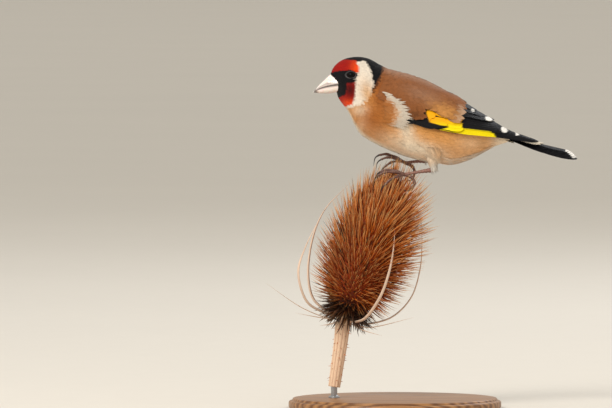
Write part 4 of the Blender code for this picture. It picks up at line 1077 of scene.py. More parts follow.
def build_bend_fringe():
    """The pale pointed feathers that hang over the bend of each folded wing, from the breast's edge."""
    look = bpy.context.scene.goldfinch_plumage
    for name, side in SIDES.items():
        rng = np.random.default_rng(70 + side)
        batches = []
        for back, count, width in FRINGE_LAYERS:
            first = 0.06 * back
            share = first + (1 - first) * (np.arange(count) + rng.uniform(0.2, 0.8, count)) / count
            x, z, length = between(FRINGE, share * (len(FRINGE) - 1)).T
            length = length * (0.75 if back > 0.6 else 1.0)
            behind = back + rng.normal(0, 0.3, count)
            reach = behind + length
            back_x, up_z = math.cos(math.radians(FRINGE_FALL)), math.sin(math.radians(FRINGE_FALL))
            row, angle = shown_at(WING, x - reach * back_x, z + reach * up_z, np.full(count, 6.5),
                                  np.full(count, side * 80.0))
            run, _ = WING.slopes(row, angle)
            fall = np.degrees(np.arctan2(-run[:, 2], run[:, 0]))
            pale = 1 - smooth_step(behind, 2.0, 6.5 + share)
            under = plumage_tones(WING.point(row, angle), angle, 0.15)
            cream = mix(look.cheek, look.down, 0.5) * (0.84, 0.81, 0.78)
            tip_row, _ = shown_at(WING, x - behind, z + behind * up_z, row, angle)
            bulge = np.interp(share, *FRINGE_BULGE)
            lift = (np.interp(row, *FRINGE_RISE) * bulge - np.interp(back, (0, 4, 8), (0.25, 0.5, 0.8)),
                    np.interp(tip_row, *FRINGE_RISE) * bulge + np.interp(back, (0, 4, 8), (0.2, 0.15, -0.1)))
            batches.append(tufts(WING, row, angle, length, width, lift, 9, 0.5, rng, pointed=1.0,
                                 heading=side * (fall - FRINGE_FALL), tone=mix(under, cream, pale),
                                 tip_tone=mix(under, cream, np.minimum(pale * 1.25, 1))[:, None],
                                 tip_share=0.7, softness=0.85, spread=0.05, settle=1.4))
        coat_piece("coat_wing_bend_" + name, "breast", batches)


def build_scapulars():
    """The brown shoulder feathers over the upper part of each folded wing."""
    look = bpy.context.scene.goldfinch_plumage
    for name, side in SIDES.items():
        rng = np.random.default_rng(80 + side)
        row, angle = staggered(WING, 5.6, 10.6, 1.15, 1.3, rng, angles=(4.0, 88.0))
        length = np.interp(row, (5.6, 7.0, 8.0, 10.4), (3.3, 4.4, 6.0, 6.6))
        run, _ = WING.slopes(row, angle)
        tip = WING.point(row + length / np.linalg.norm(run, axis=1), angle)
        inside = depth_inside(tip[:, 0], tip[:, 2], SHOULDER)
        keep = inside > -0.1
        row, angle, length, tip = (values[keep] for values in (row, angle, length, tip))
        # painted sheen: the shoulder feathers turn paler towards the top of the back
        tone = mix(look.mantle, look.mantle_sheen, 0.75 * smooth_step(-angle, -38, -10))
        tone = with_patches(tone, tip, SHOULDER_PATCHES)
        shadow = patch(tip[:, 0], tip[:, 2], (10.0, 138.0), (4.0, 1.6))
        tone = mix(tone, np.array(look.mantle) * 0.5, 0.8 * shadow)
        pale = smooth_step(tip[:, 0], 28.0, 31.5) * smooth_step(angle, 34, 46)
        tone = mix(tone, look.belly, 0.28 * pale)
        rise = np.interp(row, (5.6, 6.6, 7.4, 10.4), (0.0, 1.0, 1.9, 1.9))
        inner = np.interp(row, (7.8, 9.3), (24, 5))
        outer = np.interp(row, (7.8, 9.3), (60, 30))
        rise = rise * smooth_step(angle, inner, outer) + 0.1
        batch = tufts(WING, row, side * angle, length, 2.4, (rise - 0.9, rise + 0.2), 11, 0.3, rng, tone=tone)
        coat_piece("scapulars_" + name, "plumage", [batch])


# Flight feathers of a folded wing, by tier: count, the places of the first and the last root, then of
# their tips, their widths, and lift at root and tip, all in millimetres but the places
TIERS = {
    "primary": (9, ((8.9, 89.5), (9.6, 80.0)), ((15.0, 66.0), (13.55, 54.0)), (3.4, 4.8), (0.4, 0.4)),
    "secondary": (7, ((9.4, 78.0), (9.4, 60.0)), ((13.42, 52.0), (12.6, 30.0)), (5.0, 5.2), (0.6, 0.65)),
    "tertial": (3, ((9.5, 56.0), (9.2, 32.0)), ((12.55, 22.0), (11.45, 17.0)), (6.4, 5.6), (0.85, 1.1)),
    "greater_covert": (8, ((8.5, 85.0), (8.6, 42.0)), ((10.95, 79.0), (10.6, 40.0)), (4.0, 4.6),
                       (0.85, 1.15)),
    "primary_covert": (5, ((7.7, 91.0), (7.8, 84.0)), ((9.4, 89.5), (10.0, 79.0)), (2.4, 2.6),
                       (1.0, 1.45)),
    "median_covert": (4, ((7.9, 86.0), (8.0, 73.0)), ((8.9, 84.0), (9.2, 72.0)), (3.6, 3.8), (1.0, 1.4)),
    "lesser_covert": (5, ((7.3, 91.0), (7.4, 77.0)), ((8.3, 90.0), (8.5, 76.0)), (3.4, 3.6), (0.9, 1.45)),
}
VANE_STATIONS = {"primary": 56, "secondary": 48, "tertial": 44}  # along a feather
COVERT_STATIONS = 22
VANE_ACROSS = np.array((-1.0, -0.8, -0.55, -0.3, -0.08, 0.0, 0.08, 0.3, 0.55, 0.8, 1.0))
VANE_THICK, VANE_RAGGED, VANE_SHAFT = 0.12, 0.05, 0.14


def vane_outline(along, root, round_from, tip):
    """Half the width of a flight feather along it, as a share of its widest place."""
    grown = root + (1 - root) * np.sin(np.clip(along / 0.4, 0, 1) * math.pi / 2)
    past = np.clip((along - round_from) / (1 - round_from), 0, 1)
    return grown * np.maximum(np.sqrt(np.maximum(1 - past ** 2, 0)), tip)


def vane_mesh(place, along, half, rng):
    """A flight feather's closed blade with a raised shaft, and places on it.

    place gives points from the share of the length, the shift across and the lift.
    Returns points, triangles, places on the blade, and each upper point's share of the length and shift.
    """
    edge = 1 - VANE_RAGGED * rng.uniform(0, 1, (len(along), 2)) * (along[:, None] > 0.25)
    scale = np.ones((len(along), len(VANE_ACROSS)))
    scale[:, :2] = edge[:, :1]
    scale[:, -2:] = edge[:, 1:]
    shift = VANE_ACROSS[None] * scale * half[:, None]
    grid = np.broadcast_to(along[:, None], shift.shape)
    ridge = np.where(VANE_ACROSS == 0, VANE_SHAFT, 0.0)[None] * (1 - 0.8 * grid)
    thick = VANE_THICK / 2 * (1 - np.abs(VANE_ACROSS) ** 4)
    top = place(grid, shift, ridge + thick)
    low = place(grid, shift, -ridge * 0.7 - thick)
    rows, columns = grid.shape
    below = rows * columns
    points = np.concatenate([top.reshape(-1, 3), low.reshape(-1, 3)])
    over = grid_faces(rows, columns)
    rim = np.concatenate([np.arange(columns), np.arange(2, rows + 1) * columns - 1,
                          below - 2 - np.arange(columns - 1), np.arange(rows - 2, 0, -1) * columns])
    after = np.roll(rim, -1)
    faces = np.concatenate([over, over[:, ::-1] + below, np.stack([rim, after, rim + below], -1),
                            np.stack([after, after + below, rim + below], -1)])
    a, b, c = (points[faces[:, m]] for m in range(3))
    if (a * np.cross(b, c)).sum() < 0:
        faces = faces[:, ::-1]
    length = np.linalg.norm(np.diff(top[:, columns // 2], axis=0), axis=1).sum()
    blade = np.stack([grid * length, np.abs(shift), 0 * shift], -1).reshape(-1, 3)
    return points, faces, np.concatenate([blade, blade]), grid, shift


def wing_tones(points, rng):
    """Colours of one feather of the folded wing."""
    look = bpy.context.scene.goldfinch_plumage
    x, z = points[..., 0], points[..., 2]
    tones = np.broadcast_to(np.array(look.black) * rng.uniform(0.8, 1.3), (*x.shape, 3)).copy()
    amber = mix(look.yellow, look.amber, smooth_step(z, 132.3, 136.0))
    for outline, colour in ((YELLOW_COVERTS, amber), (YELLOW_BAND, look.yellow), (BLACK_WEDGE, look.black)):
        tones = mix(tones, colour, smooth_step(depth_inside(x, z, outline), -0.2, 0.2))
    for centre, radii, tilt in WING_SPOTS:
        tones = mix(tones, look.white, smooth_step(patch(x, z, centre, radii, tilt), 0.28, 0.46))
    return tones


def wing_pad(side):
    """The dark pad under a folded wing's feathers."""
    steps = 24
    (first, last), (high, low) = (7.8, 10.6), (46, 90)
    rows, turns = crossed(np.linspace(first, last, steps), np.linspace(high, low, steps))
    u = (rows - first) / (last - first)
    v = (turns - high) / (low - high)
    swell = np.sqrt(np.maximum(1 - (2 * u - 1) ** 4, 0)) * np.sqrt(np.maximum(1 - (2 * v - 1) ** 4, 0))
    over = WING.point(rows, side * turns, 0.35 + 0.75 * swell)
    under = WING.point(rows, side * turns, np.full(rows.shape, 0.3))
    faces = grid_faces(steps, steps)
    points = np.concatenate([over.reshape(-1, 3), under.reshape(-1, 3)])
    # the wing's black, darkened further as painted shade under the feathers
    tone = np.array(bpy.context.scene.goldfinch_plumage.black) * 0.8
    return points, np.concatenate([faces, faces[:, ::-1] + rows.size]), tone, np.zeros_like(points)


def build_wing(name):
    """One folded wing: a dark pad under tiers of flight feathers and coverts."""
    side = SIDES[name]
    rng = np.random.default_rng(90 + side)
    parts = [wing_pad(side)]
    for tier, (count, roots, tips, widths, lifts) in TIERS.items():
        for k in range(count):
            share = k / (count - 1)
            tip_share = share ** 1.25 if tier == "primary" else share
            root = np.add(roots[0], np.subtract(roots[1], roots[0]) * share) + rng.normal(0, (0.03, 0.3))
            tip = np.add(tips[0], np.subtract(tips[1], tips[0]) * tip_share) + rng.normal(0, (0.02, 0.3))
            width = widths[0] + (widths[1] - widths[0]) * share
            along = np.linspace(0, 1, VANE_STATIONS.get(tier, COVERT_STATIONS))
            row = root[0] + (tip[0] - root[0]) * along
            angle = side * (root[1] + (tip[1] - root[1]) * along)
            path = WING.point(row, angle)
            run = unit(np.gradient(path, axis=0))
            across = np.cross(WING.normal(row, angle), run) * side
            half = vane_outline(along, 0.45, 0.72, 0.12) * width / 2

            def place(grid, shift, height, row=row, angle=angle, across=across, share=share, lifts=lifts):
                step = across[:, None] * shift[..., None]
                rows_at, angles_at = WING.moved(row[:, None], angle[:, None], step)
                rise = lifts[0] + (lifts[1] - lifts[0]) * grid + 0.12 * shift + 0.02 * share + height
                spots = WING.point(rows_at, angles_at, rise)
                spots[..., 1] = side * np.maximum(side * spots[..., 1], 0.2)
                return spots

            points, faces, blade, _, _ = vane_mesh(place, along, half, rng)
            parts.append((points, faces, wing_tones(points, rng), blade))
    points, faces, *values = joined(parts)
    wing = mesh_piece("wing_feathers_" + name, points, faces, feather_material("Flight feathers"), *values)
    hold(wing, "flight", "wing_" + name)


TAIL_START, TAIL_END = (54.35, 127.4), (85.8, 120.2)
TAIL_HALF_WIDTHS = (2.6, 5.4)
TAIL_DROOP = (0.3, 3.2)
TAIL_FORK = 4.2
TAIL_PAIRS = 6


def tail_point(along, across, lift):
    """A point of the tail's sheet. along is 0 at its root and 1 at the tips, across is -1 to 1."""
    x = TAIL_START[0] + (TAIL_END[0] - TAIL_START[0]) * along
    z = TAIL_START[1] + (TAIL_END[1] - TAIL_START[1]) * along
    half = TAIL_HALF_WIDTHS[0] + (TAIL_HALF_WIDTHS[1] - TAIL_HALF_WIDTHS[0]) * along
    droop = TAIL_DROOP[0] + (TAIL_DROOP[1] - TAIL_DROOP[0]) * along
    return np.stack([x + 0.27 * lift, half * across, z - droop * np.abs(across) ** 1.7 + 0.96 * lift], -1)


def build_tail():
    """Twelve tail feathers, the middle ones on top and the outer ones a little longer."""
    look = bpy.context.scene.goldfinch_plumage
    rng = np.random.default_rng(110)
    length = math.hypot(TAIL_END[0] - TAIL_START[0], TAIL_END[1] - TAIL_START[1])
    parts = []
    for pair in range(TAIL_PAIRS):
        for side in SIDES.values():
            share = pair / (TAIL_PAIRS - 1)
            end = 1 - TAIL_FORK / length * (1 - share) ** 1.3
            layer = -0.27 * (pair + (0.5 if side > 0 else 0.0)) + 0.25
            along = np.linspace(-0.03, 1, 56)
            half = 2.4 * vane_outline(np.clip(along, 0, 1), 0.35, 0.88 - 0.33 * share, 0.08)
            centre = side * (0.12 + 0.55 * share)

            def place(grid, shift, height, end=end, layer=layer, centre=centre):
                spread = TAIL_HALF_WIDTHS[0] + (TAIL_HALF_WIDTHS[1] - TAIL_HALF_WIDTHS[0]) * grid * end
                return tail_point(grid * end, centre + shift / spread, layer + height)

            points, faces, blade, grid, shift = vane_mesh(place, along, half, rng)
            tones = np.broadcast_to(np.array(look.black) * rng.uniform(0.8, 1.2), (*grid.shape, 3)).copy()
            white = smooth_step(grid, 0.93, 0.95) * (1 - 0.95 * smooth_step(share, 0.7, 1.0))
            tones = mix(tones, look.white, white)
            if pair >= 3:
                oval = ((grid - 0.66) / 0.16) ** 2 + ((shift * side + 1.2) / 1.3) ** 2
                tones = mix(tones, look.white, smooth_step(-oval, -1.2, -0.8))
            tones = np.concatenate([tones.reshape(-1, 3)] * 2)
            parts.append((points, faces, tones, blade))
    points, faces, *values = joined(parts)
    tail = mesh_piece("tail_feathers", points, faces, feather_material("Flight feathers"), *values)
    hold(tail, "flight", "tail")


class TailCover(Sheet):
    """The sheet that the tail's covering feathers lie on, above or below the tail."""

    def __init__(self, above):
        self.above = above

    def bare(self, row, angle):
        lift = 0.8 if self.above else -1.5
        return tail_point(row, angle / 90, np.full(np.shape(row), lift))

    def normal(self, row, angle):
        along, around = self.slopes(row, angle)
        return unit(np.cross(along, around)) * (1 if self.above else -1)

    def unwrap(self, row, angle):
        return np.stack([0.9 + 0.1 * row, (0.2 if self.above else 0.1) + angle / 2000], -1)


def build_tail_covers():
    """The cream feathers that cover the root of the tail above and below."""
    pale = np.array(bpy.context.scene.goldfinch_plumage.belly)
    for name, above in (("coat_uppertail", True), ("coat_undertail", False)):
        rng = np.random.default_rng(120 + above)
        sheet = TailCover(above)
        row = np.repeat(np.linspace(-0.3, 0.13 if above else -0.12, 9), 7)
        reach = 58 if above else 70
        angle = np.tile(np.linspace(-reach, reach, 7), 9) + rng.normal(0, 5, 63)
        row = row + rng.normal(0, 0.01, len(row))
        length = np.interp(row, (-0.3, 0.12), (8.0, 10.5)) * (1.0 if above else 0.6)
        batch = tufts(sheet, row, angle, length, 3.0, (-0.6, 0.15), 10, 0.4, rng, tone=pale * 0.97,
                      pointed=0.5, softness=0.85 if above else 0.2)
        coat_piece(name, "down", [batch])


# The lines of the bill in the side view, and its half widths at their points
CULMEN = ((-30.9, 156.6), (-33.5, 154.2), (-36.1, 151.6), (-38.5, 148.6))
MOUTH_LINE = ((-29.0, 152.5), (-32.2, 151.5), (-35.5, 150.4), (-38.3, 148.75))
GONYS = ((-28.4, 148.5), (-31.6, 148.1), (-34.8, 148.2), (-37.6, 148.55))
BILL_HALF_WIDTHS = ((3.9,), (2.9,), (1.75,), (0.35,))
BILL_RINGS, BILL_ARCH, BILL_FLOOR = 60, 41, 11  # rings along, and points of a ring's arch and its floor
CORNER_BACK, CORNER_WIDER = 3.5, 0.8
UNDER_SLIMMER = 0.93
MOUTH_GAP = 0.16
NOSTRIL_SHARE = 0.36  # in steps of the lines' points


def bill_half(edge):
    """Points of a mandible: an arch over its ridge, closed along the line of the mouth."""
    upper = edge is CULMEN
    share, turn = crossed(np.linspace(-0.35, 3, BILL_RINGS), np.linspace(0, math.pi, BILL_ARCH))
    ridge = between(edge, share)
    mouth = between(MOUTH_LINE, share)
    mouth_z = mouth[..., 1] + (MOUTH_GAP / 2 if upper else -MOUTH_GAP / 2)
    corner = np.maximum(0.0, 1.0 - share / 1.5) ** 2
    half = between(BILL_HALF_WIDTHS, share)[..., 0] * (1.0 if upper else UNDER_SLIMMER)
    half = half + CORNER_WIDER * corner
    rise = np.sin(turn) ** 0.9
    half = half * (1 - 0.4 * rise * smooth_step(-share, -0.8, 0.1)) if upper else half
    back = CORNER_BACK * corner * (1 - rise if upper else np.abs(np.cos(turn)) ** 1.5)
    x = mouth[..., 0] + (ridge[..., 0] - mouth[..., 0]) * rise + back
    z = mouth_z + (ridge[..., 1] - mouth_z) * rise
    arch = np.stack([x, -half * np.cos(turn), z], -1)
    if upper:
        for side in SIDES.values():
            nostril_turn = math.radians(90 + side * 38)
            dent = np.exp(-((share - NOSTRIL_SHARE) / 0.13) ** 2 - ((turn - nostril_turn) / 0.13) ** 2)
            arch -= unit(arch - np.stack([mouth[..., 0], 0 * x, mouth_z], -1)) * (0.45 * dent)[..., None]
    floor_y = np.linspace(1, -1, BILL_FLOOR + 2)[1:-1]
    floor_x = (arch[:, :1, 0] + arch[:, -1:, 0]) / 2 - 0.4 * (1 - floor_y ** 2)
    floor = np.stack(np.broadcast_arrays(floor_x, half[:, :1] * floor_y, mouth_z[:, :1]), -1)
    return np.concatenate([arch, floor], 1), share, turn


def build_bill():
    """The two halves of the bill, pale horn with a dark ridge, tip and mouth line."""
    look = bpy.context.scene.goldfinch_horn
    made, shader = toned_material("Bill horn", 700, 220, 0.3, 0.3, 0.02, (0.5, 3, 3))
    shader.inputs["Subsurface Weight"].default_value = 0.15
    shader.inputs["Subsurface Scale"].default_value = 0.001
    shader.inputs["Coat Weight"].default_value = 0.2
    for name, edge in (("upper", CULMEN), ("lower", GONYS)):
        rings, share, turn = bill_half(edge)
        points, faces = lofted(rings)
        tones = np.broadcast_to(np.array(look.bill), (BILL_RINGS, BILL_ARCH + BILL_FLOOR, 3)).copy()
        arch = tones[:, :BILL_ARCH]
        down = np.abs(turn - math.pi / 2)
        edge_down = math.pi / 2 - down
        dark = 0.9 * smooth_step(share, 2.1, 2.75)
        dark = np.maximum(dark, 0.9 * np.exp(-(edge_down / 0.13) ** 2))
        if name == "upper":
            ridge = np.exp(-(down / 0.13) ** 2) * smooth_step(share, 0.3, 1.2)
            # painted shadow: a brown-grey band on the upper mandible just above the mouth line
            mouth_shadow = 0.55 * np.exp(-((edge_down - 0.34) / 0.24) ** 2) * smooth_step(share, -0.2, 0.8)
            dark = np.maximum(dark, np.maximum(0.75 * ridge, mouth_shadow))
        else:
            # painted shade: the lower mandible darkens along its keel and turns brown underneath
            dark = np.maximum(dark, 0.6 * np.exp(-(down / 0.16) ** 2))
            arch[:] = mix(arch, look.bill_underside_shade, 0.75 * np.exp(-(down / 0.75) ** 2))
        arch[:] = mix(arch, look.bill_dark, dark)
        tones = capped(tones, look.bill_dark, look.bill_dark)
        hold(mesh_piece(f"bill_{name}_horn", points, faces, made, tones, sharp=60), "bill", "bill_" + name)


def eyeball(seat, out, up, fore):
    """Points and triangles of an eyeball with its bulging cornea, and its tones."""
    turn, roll = crossed(np.linspace(0, math.pi, 41), full_turn(48))
    cornea = EYE_RADIUS * (1 + 0.05 * np.exp(-(turn / 0.55) ** 2))
    ways = (out * np.cos(turn)[..., None] + up * (np.sin(turn) * np.cos(roll))[..., None]
            + fore * (np.sin(turn) * np.sin(roll))[..., None])
    iris = bpy.context.scene.goldfinch_horn.iris
    tones = capped(mix(0.001, iris, smooth_step(turn, 0.5, 0.6)), (0.002,) * 3, (0.002,) * 3)
    return *lofted(seat - out * EYE_SINK + ways * cornea[..., None]), tones


def eyelids(seat, out, up, fore):
    """Points and triangles of the beaded rings of bare skin round an eye, and their tones."""
    turns = full_turn(96)
    scale, lift, dark = np.array(LID_SECTION).T
    beads = 1 + 0.02 * np.cos(turns * 26)[:, None] * (dark == 0)
    corner = 1 + 0.08 * np.abs(np.cos(turns)) ** 8
    ahead = LID_RADII[0] * np.cos(turns)[:, None] * corner[:, None] * scale * beads
    above = LID_RADII[1] * np.sin(turns)[:, None] * scale * beads
    ball = np.sqrt(np.maximum(EYE_RADIUS ** 2 - ahead ** 2 - above ** 2, 0)) - EYE_SINK
    height = np.maximum(ball, -0.3 * np.cos(turns)[:, None] ** 2) + lift
    points = seat + fore * ahead[..., None] + up * above[..., None] + out * height[..., None]
    faces = grid_faces(len(turns) + 1, len(LID_SECTION)) % height.size
    lower = smooth_step(-np.sin(turns), -0.7, 0.5)[:, None]
    tones = mix(bpy.context.scene.goldfinch_horn.lid, (0.01, 0.009, 0.01),
                np.clip(dark + 0.9 * (1 - lower), 0, 1))
    return points.reshape(-1, 3), faces, tones.reshape(-1, 3)


def build_eyes():
    """Dark glossy eyeballs in thin bare lids."""
    glass, shader = toned_material("Eyeball", 900, 300, 0.03, 0.05, 0.0)
    shader.inputs["Specular IOR Level"].default_value = 0.09
    skin, _ = toned_material("Eyelid", 2600, 500, 0.5, 0.55, 0.05)
    for name, side in SIDES.items():
        seat, out = eye_seat(side)
        up = unit(np.array((0.0, 0.0, 1.0)) - out * out[2])
        fore = np.cross(up, out) * side
        points, faces, tones = eyeball(seat, out, up, fore)
        hold(mesh_piece("eyeball_" + name, points, faces, glass, tones), "eye", "eye_" + name)
        points, faces, tones = eyelids(seat, out, up, fore)
        hold(mesh_piece("eyelids_" + name, points, faces, skin, tones), "mask")


LEGS = {
    "left": {
        "shank": ((17.8, -7.0, 112.4), (11.4, -6.8, 111.5), (6.4, -6.6, 110.6)),
        "foot": (4.7, -6.5, 110.2),
        "toes": {
            "middle": ((-0.5, -7.0, 111.4), (-4.8, -7.0, 111.3), (-8.0, -6.6, 109.7)),
            "outer": ((0.9, -9.2, 109.5), (-2.6, -10.6, 107.7), (-5.2, -10.9, 105.2)),
            "inner": ((0.4, -4.4, 111.8), (-4.0, -3.4, 112.3), (-7.2, -2.8, 111.2)),
            "hind": ((7.7, -7.0, 108.9), (9.1, -7.4, 106.4), (8.0, -7.6, 104.0)),
        },
        "claws": {
            "middle": ((-9.6, -6.4, 108.2), (-10.2, -6.2, 105.2)),
            "outer": ((-6.3, -11.0, 103.5), (-6.5, -10.8, 100.8)),
            "inner": ((-8.8, -2.5, 109.8), (-9.6, -2.3, 107.2)),
            "hind": ((6.3, -7.7, 102.6), (1.6, -7.4, 103.2)),
        },
    },
    "right": {
        "shank": ((14.8, 7.0, 116.3), (10.5, 6.4, 116.0), (6.9, 5.8, 115.6)),
        "foot": (5.1, 5.6, 115.3),
        "toes": {
            "middle": ((0.8, 5.8, 117.8), (-3.8, 5.6, 119.4), (-7.4, 5.2, 119.0)),
            "outer": ((1.8, 8.4, 116.0), (-1.8, 9.8, 115.4), (-4.6, 10.2, 113.4)),
            "inner": ((0.8, 3.6, 117.2), (-3.4, 2.4, 118.0), (-6.6, 1.8, 117.0)),
            "hind": ((8.2, 6.2, 113.6), (9.3, 6.8, 111.0), (8.6, 7.2, 108.4)),
        },
        "claws": {
            "middle": ((-9.3, 5.0, 117.6), (-10.1, 4.8, 113.8)),
            "outer": ((-6.0, 10.2, 111.8), (-6.6, 10.0, 109.0)),
            "inner": ((-8.2, 1.6, 115.6), (-9.0, 1.5, 112.6)),
            "hind": ((7.0, 7.4, 106.9), (2.6, 7.2, 107.2)),
        },
    },
}
HEEL_RADIUS, SHANK_RADIUS, PAD_RADIUS = 1.1, 0.72, 1.05
TOE_RADIUS = {"middle": 0.66, "outer": 0.6, "inner": 0.6, "hind": 0.72}
CLAW_RADIUS = {"middle": 0.48, "outer": 0.42, "inner": 0.42, "hind": 0.54}
SCUTE_LENGTH = 0.95


def scaled_tube(path, radius, look):
    """A leg or toe: overlapping scutes along its front, small pads along its back."""
    sides = 20
    path = np.asarray(path, float)
    length = np.linalg.norm(np.diff(path, axis=0), axis=1).sum()

    def reach(share, turn):
        base = np.interp(share, np.linspace(0, 1, len(radius)), radius)
        step = (share * length / SCUTE_LENGTH) % 1
        front = np.clip(np.cos(turn), 0, 1) ** 0.5
        rear = np.clip(-np.cos(turn), 0, 1)
        ridges = 0.12 * (step ** 2 - 0.3) * front
        pads = 0.10 * np.cos(share * length / 0.55 * math.pi) * rear
        return base * (1 + (ridges + pads) * (share > 0))

    points, faces = lofted(tube(path, reach, sides))
    share, turn = crossed(np.linspace(0, 1, len(path)), full_turn(sides))
    step = (share * length / SCUTE_LENGTH) % 1
    groove = np.exp(-((step - 0.02) / 0.1) ** 2) + np.exp(-((step - 1.0) / 0.08) ** 2)
    dark = np.clip(0.75 * groove * (np.cos(turn) > -0.2) + 0.35 * (np.cos(turn) < -0.3), 0, 1)
    return points, faces, capped(mix(look.leg, look.leg_dark, dark), look.leg_dark, look.leg_dark)


def build_legs():
    """Shanks, feet and toes with their scutes."""
    look = bpy.context.scene.goldfinch_horn
    skin_look, shader = toned_material("Leg scutes", 1500, 300, 0.3, 0.42, 0.04)
    shader.inputs["Coat Weight"].default_value = 0.15
    share = np.linspace(0, 1, 19)
    knuckles = 1 + 0.14 * np.cos(share * 3 * 2 * math.pi)
    for name, leg in LEGS.items():
        path = smooth_path(leg["shank"] + (leg["foot"],), 90)
        radius = np.interp(np.linspace(0, 1, 12), (0, 0.12, 0.3, 0.85, 1.0),
                           (HEEL_RADIUS, HEEL_RADIUS * 0.95, SHANK_RADIUS, SHANK_RADIUS, PAD_RADIUS))
        parts = [scaled_tube(path, radius, look)]
        for toe, knots in leg["toes"].items():
            path = smooth_path((leg["foot"],) + knots, 70)
            radius = TOE_RADIUS[toe] * knuckles * np.linspace(1.15, 0.85, len(share))
            radius[-1] *= 0.6
            points, faces, tones = scaled_tube(path, radius, look)
            parts.append((points, faces, mix(tones, look.claw, 0.45)))
        points, faces, tones = joined(parts)
        hold(mesh_piece("leg_scutes_" + name, points, faces, skin_look, tones), "leg", "shank_" + name,
             "foot_" + name)


def build_claws():
    """Curved claws, flattened at their sides."""
    look = bpy.context.scene.goldfinch_horn
    horn, shader = toned_material("Claw horn", 1400, 260, 0.3, 0.3, 0.02)
    shader.inputs["Coat Weight"].default_value = 0.3
    rows, sides = 40, 14
    for name, leg in LEGS.items():
        for toe, (knee, point) in leg["claws"].items():
            tip = np.array(leg["toes"][toe][-1])
            start = tip + unit(np.array(knee) - tip) * -0.3
            path = smooth_path((start, knee, point), rows)

            def reach(share, turn, toe=toe):
                taper = CLAW_RADIUS[toe] * (1 - 0.93 * share ** 1.2)
                return taper * (1 - 0.25 * np.sin(turn) ** 2)

            points, faces = lofted(tube(path, reach, sides))
            share = np.repeat(np.linspace(0, 1, rows), sides)
            tones = mix(np.array(look.claw) * 1.6, look.claw, smooth_step(share, 0.1, 0.5))
            tones = capped(tones, look.claw, look.claw)
            hold(mesh_piece(f"talon_{name}_{toe}", points, faces, horn, tones), "claw", f"claw_{name}_{toe}")


# The seed head's middle line and its radii at even steps along it
CONE_BASE, CONE_TOP = np.array((-22.9, 0.0, 44.3)), np.array((-1.6, 0.0, 108.8))
CONE_RADII = (5.2, 9.6, 12.3, 13.8, 14.4, 14.4, 14.0, 13.0, 11.2, 8.2, 0.0)
CONE_LENGTH = float(np.linalg.norm(CONE_TOP - CONE_BASE))
CONE_AXIS = (CONE_TOP - CONE_BASE) / CONE_LENGTH
CONE_ACROSS = np.array((0.0, -1.0, 0.0))
CONE_OTHER = np.cross(CONE_AXIS, CONE_ACROSS)
CONE_SKIRT = 0.6
SPINE_LENGTHS = ((8.5,), (12.4,), (13.2,), (12.8,), (11.0,))
SPINE_STEPS, SPINE_SIDES, SPINE_TIP = 7, 5, 0.03  # rings of a spine, points of a ring, and its tip's radius
SPINE_SINK = 0.9
LEG_GAP, BELLY_GAP = 0.3, 0.6
LEAST_SPINE = 0.2  # a spine that legs and belly leave no more of than this share isn't grown
# The belly's height over the seed head, as x and z
BELLY = ((-30, -10, 0, 10, 18, 28, 60), (150, 124, 120, 117, 115, 115, 125))


def cone_radius(share):
    return between([[r] for r in CONE_RADII], np.clip(share, 0, 1) * (len(CONE_RADII) - 1))[..., 0]


def cone_spoke(turn):
    return CONE_ACROSS * np.cos(turn)[..., None] + CONE_OTHER * np.sin(turn)[..., None]


def cone_point(share, turn, lift):
    reach = (cone_radius(share) + lift)[..., None]
    return CONE_BASE + CONE_AXIS * CONE_LENGTH * share[..., None] + cone_spoke(turn) * reach


def cone_normal(share, turn):
    slope = (cone_radius(share + 0.01) - cone_radius(share - 0.01)) / (0.02 * CONE_LENGTH)
    return unit(cone_spoke(turn) - CONE_AXIS * slope[..., None])


def away_from_lines(points, lines):
    """The least clear distance from points to lines that are each (start, end, radius)."""
    clear = np.full(points.shape[:-1], np.inf)
    for start, end, radius in lines:
        start, run = np.asarray(start, float), np.subtract(end, start)
        share = np.clip(((points - start) @ run) / np.dot(run, run), 0, 1)
        near = np.linalg.norm(points - start - share[..., None] * run, axis=-1) - radius
        clear = np.minimum(clear, near)
    return clear


def leg_lines():
    """The middle lines of legs, feet and claws with their radii."""
    lines = []
    for name, leg in LEGS.items():
        shank = leg["shank"]
        lines += [(a, b, 1.1) for a, b in zip(shank, shank[1:] + (leg["foot"],))]
        lines.append((THIGHS[name][1], THIGHS[name][2], 3.6))
        for toe, knots in leg["toes"].items():
            path = smooth_path((leg["foot"],) + knots, 8)
            lines += [(a, b, TOE_RADIUS[toe] * 1.15) for a, b in zip(path, path[1:])]
            knee, point = leg["claws"][toe]
            lines += [(knots[-1], knee, 0.45), (knee, point, 0.4)]
    return lines


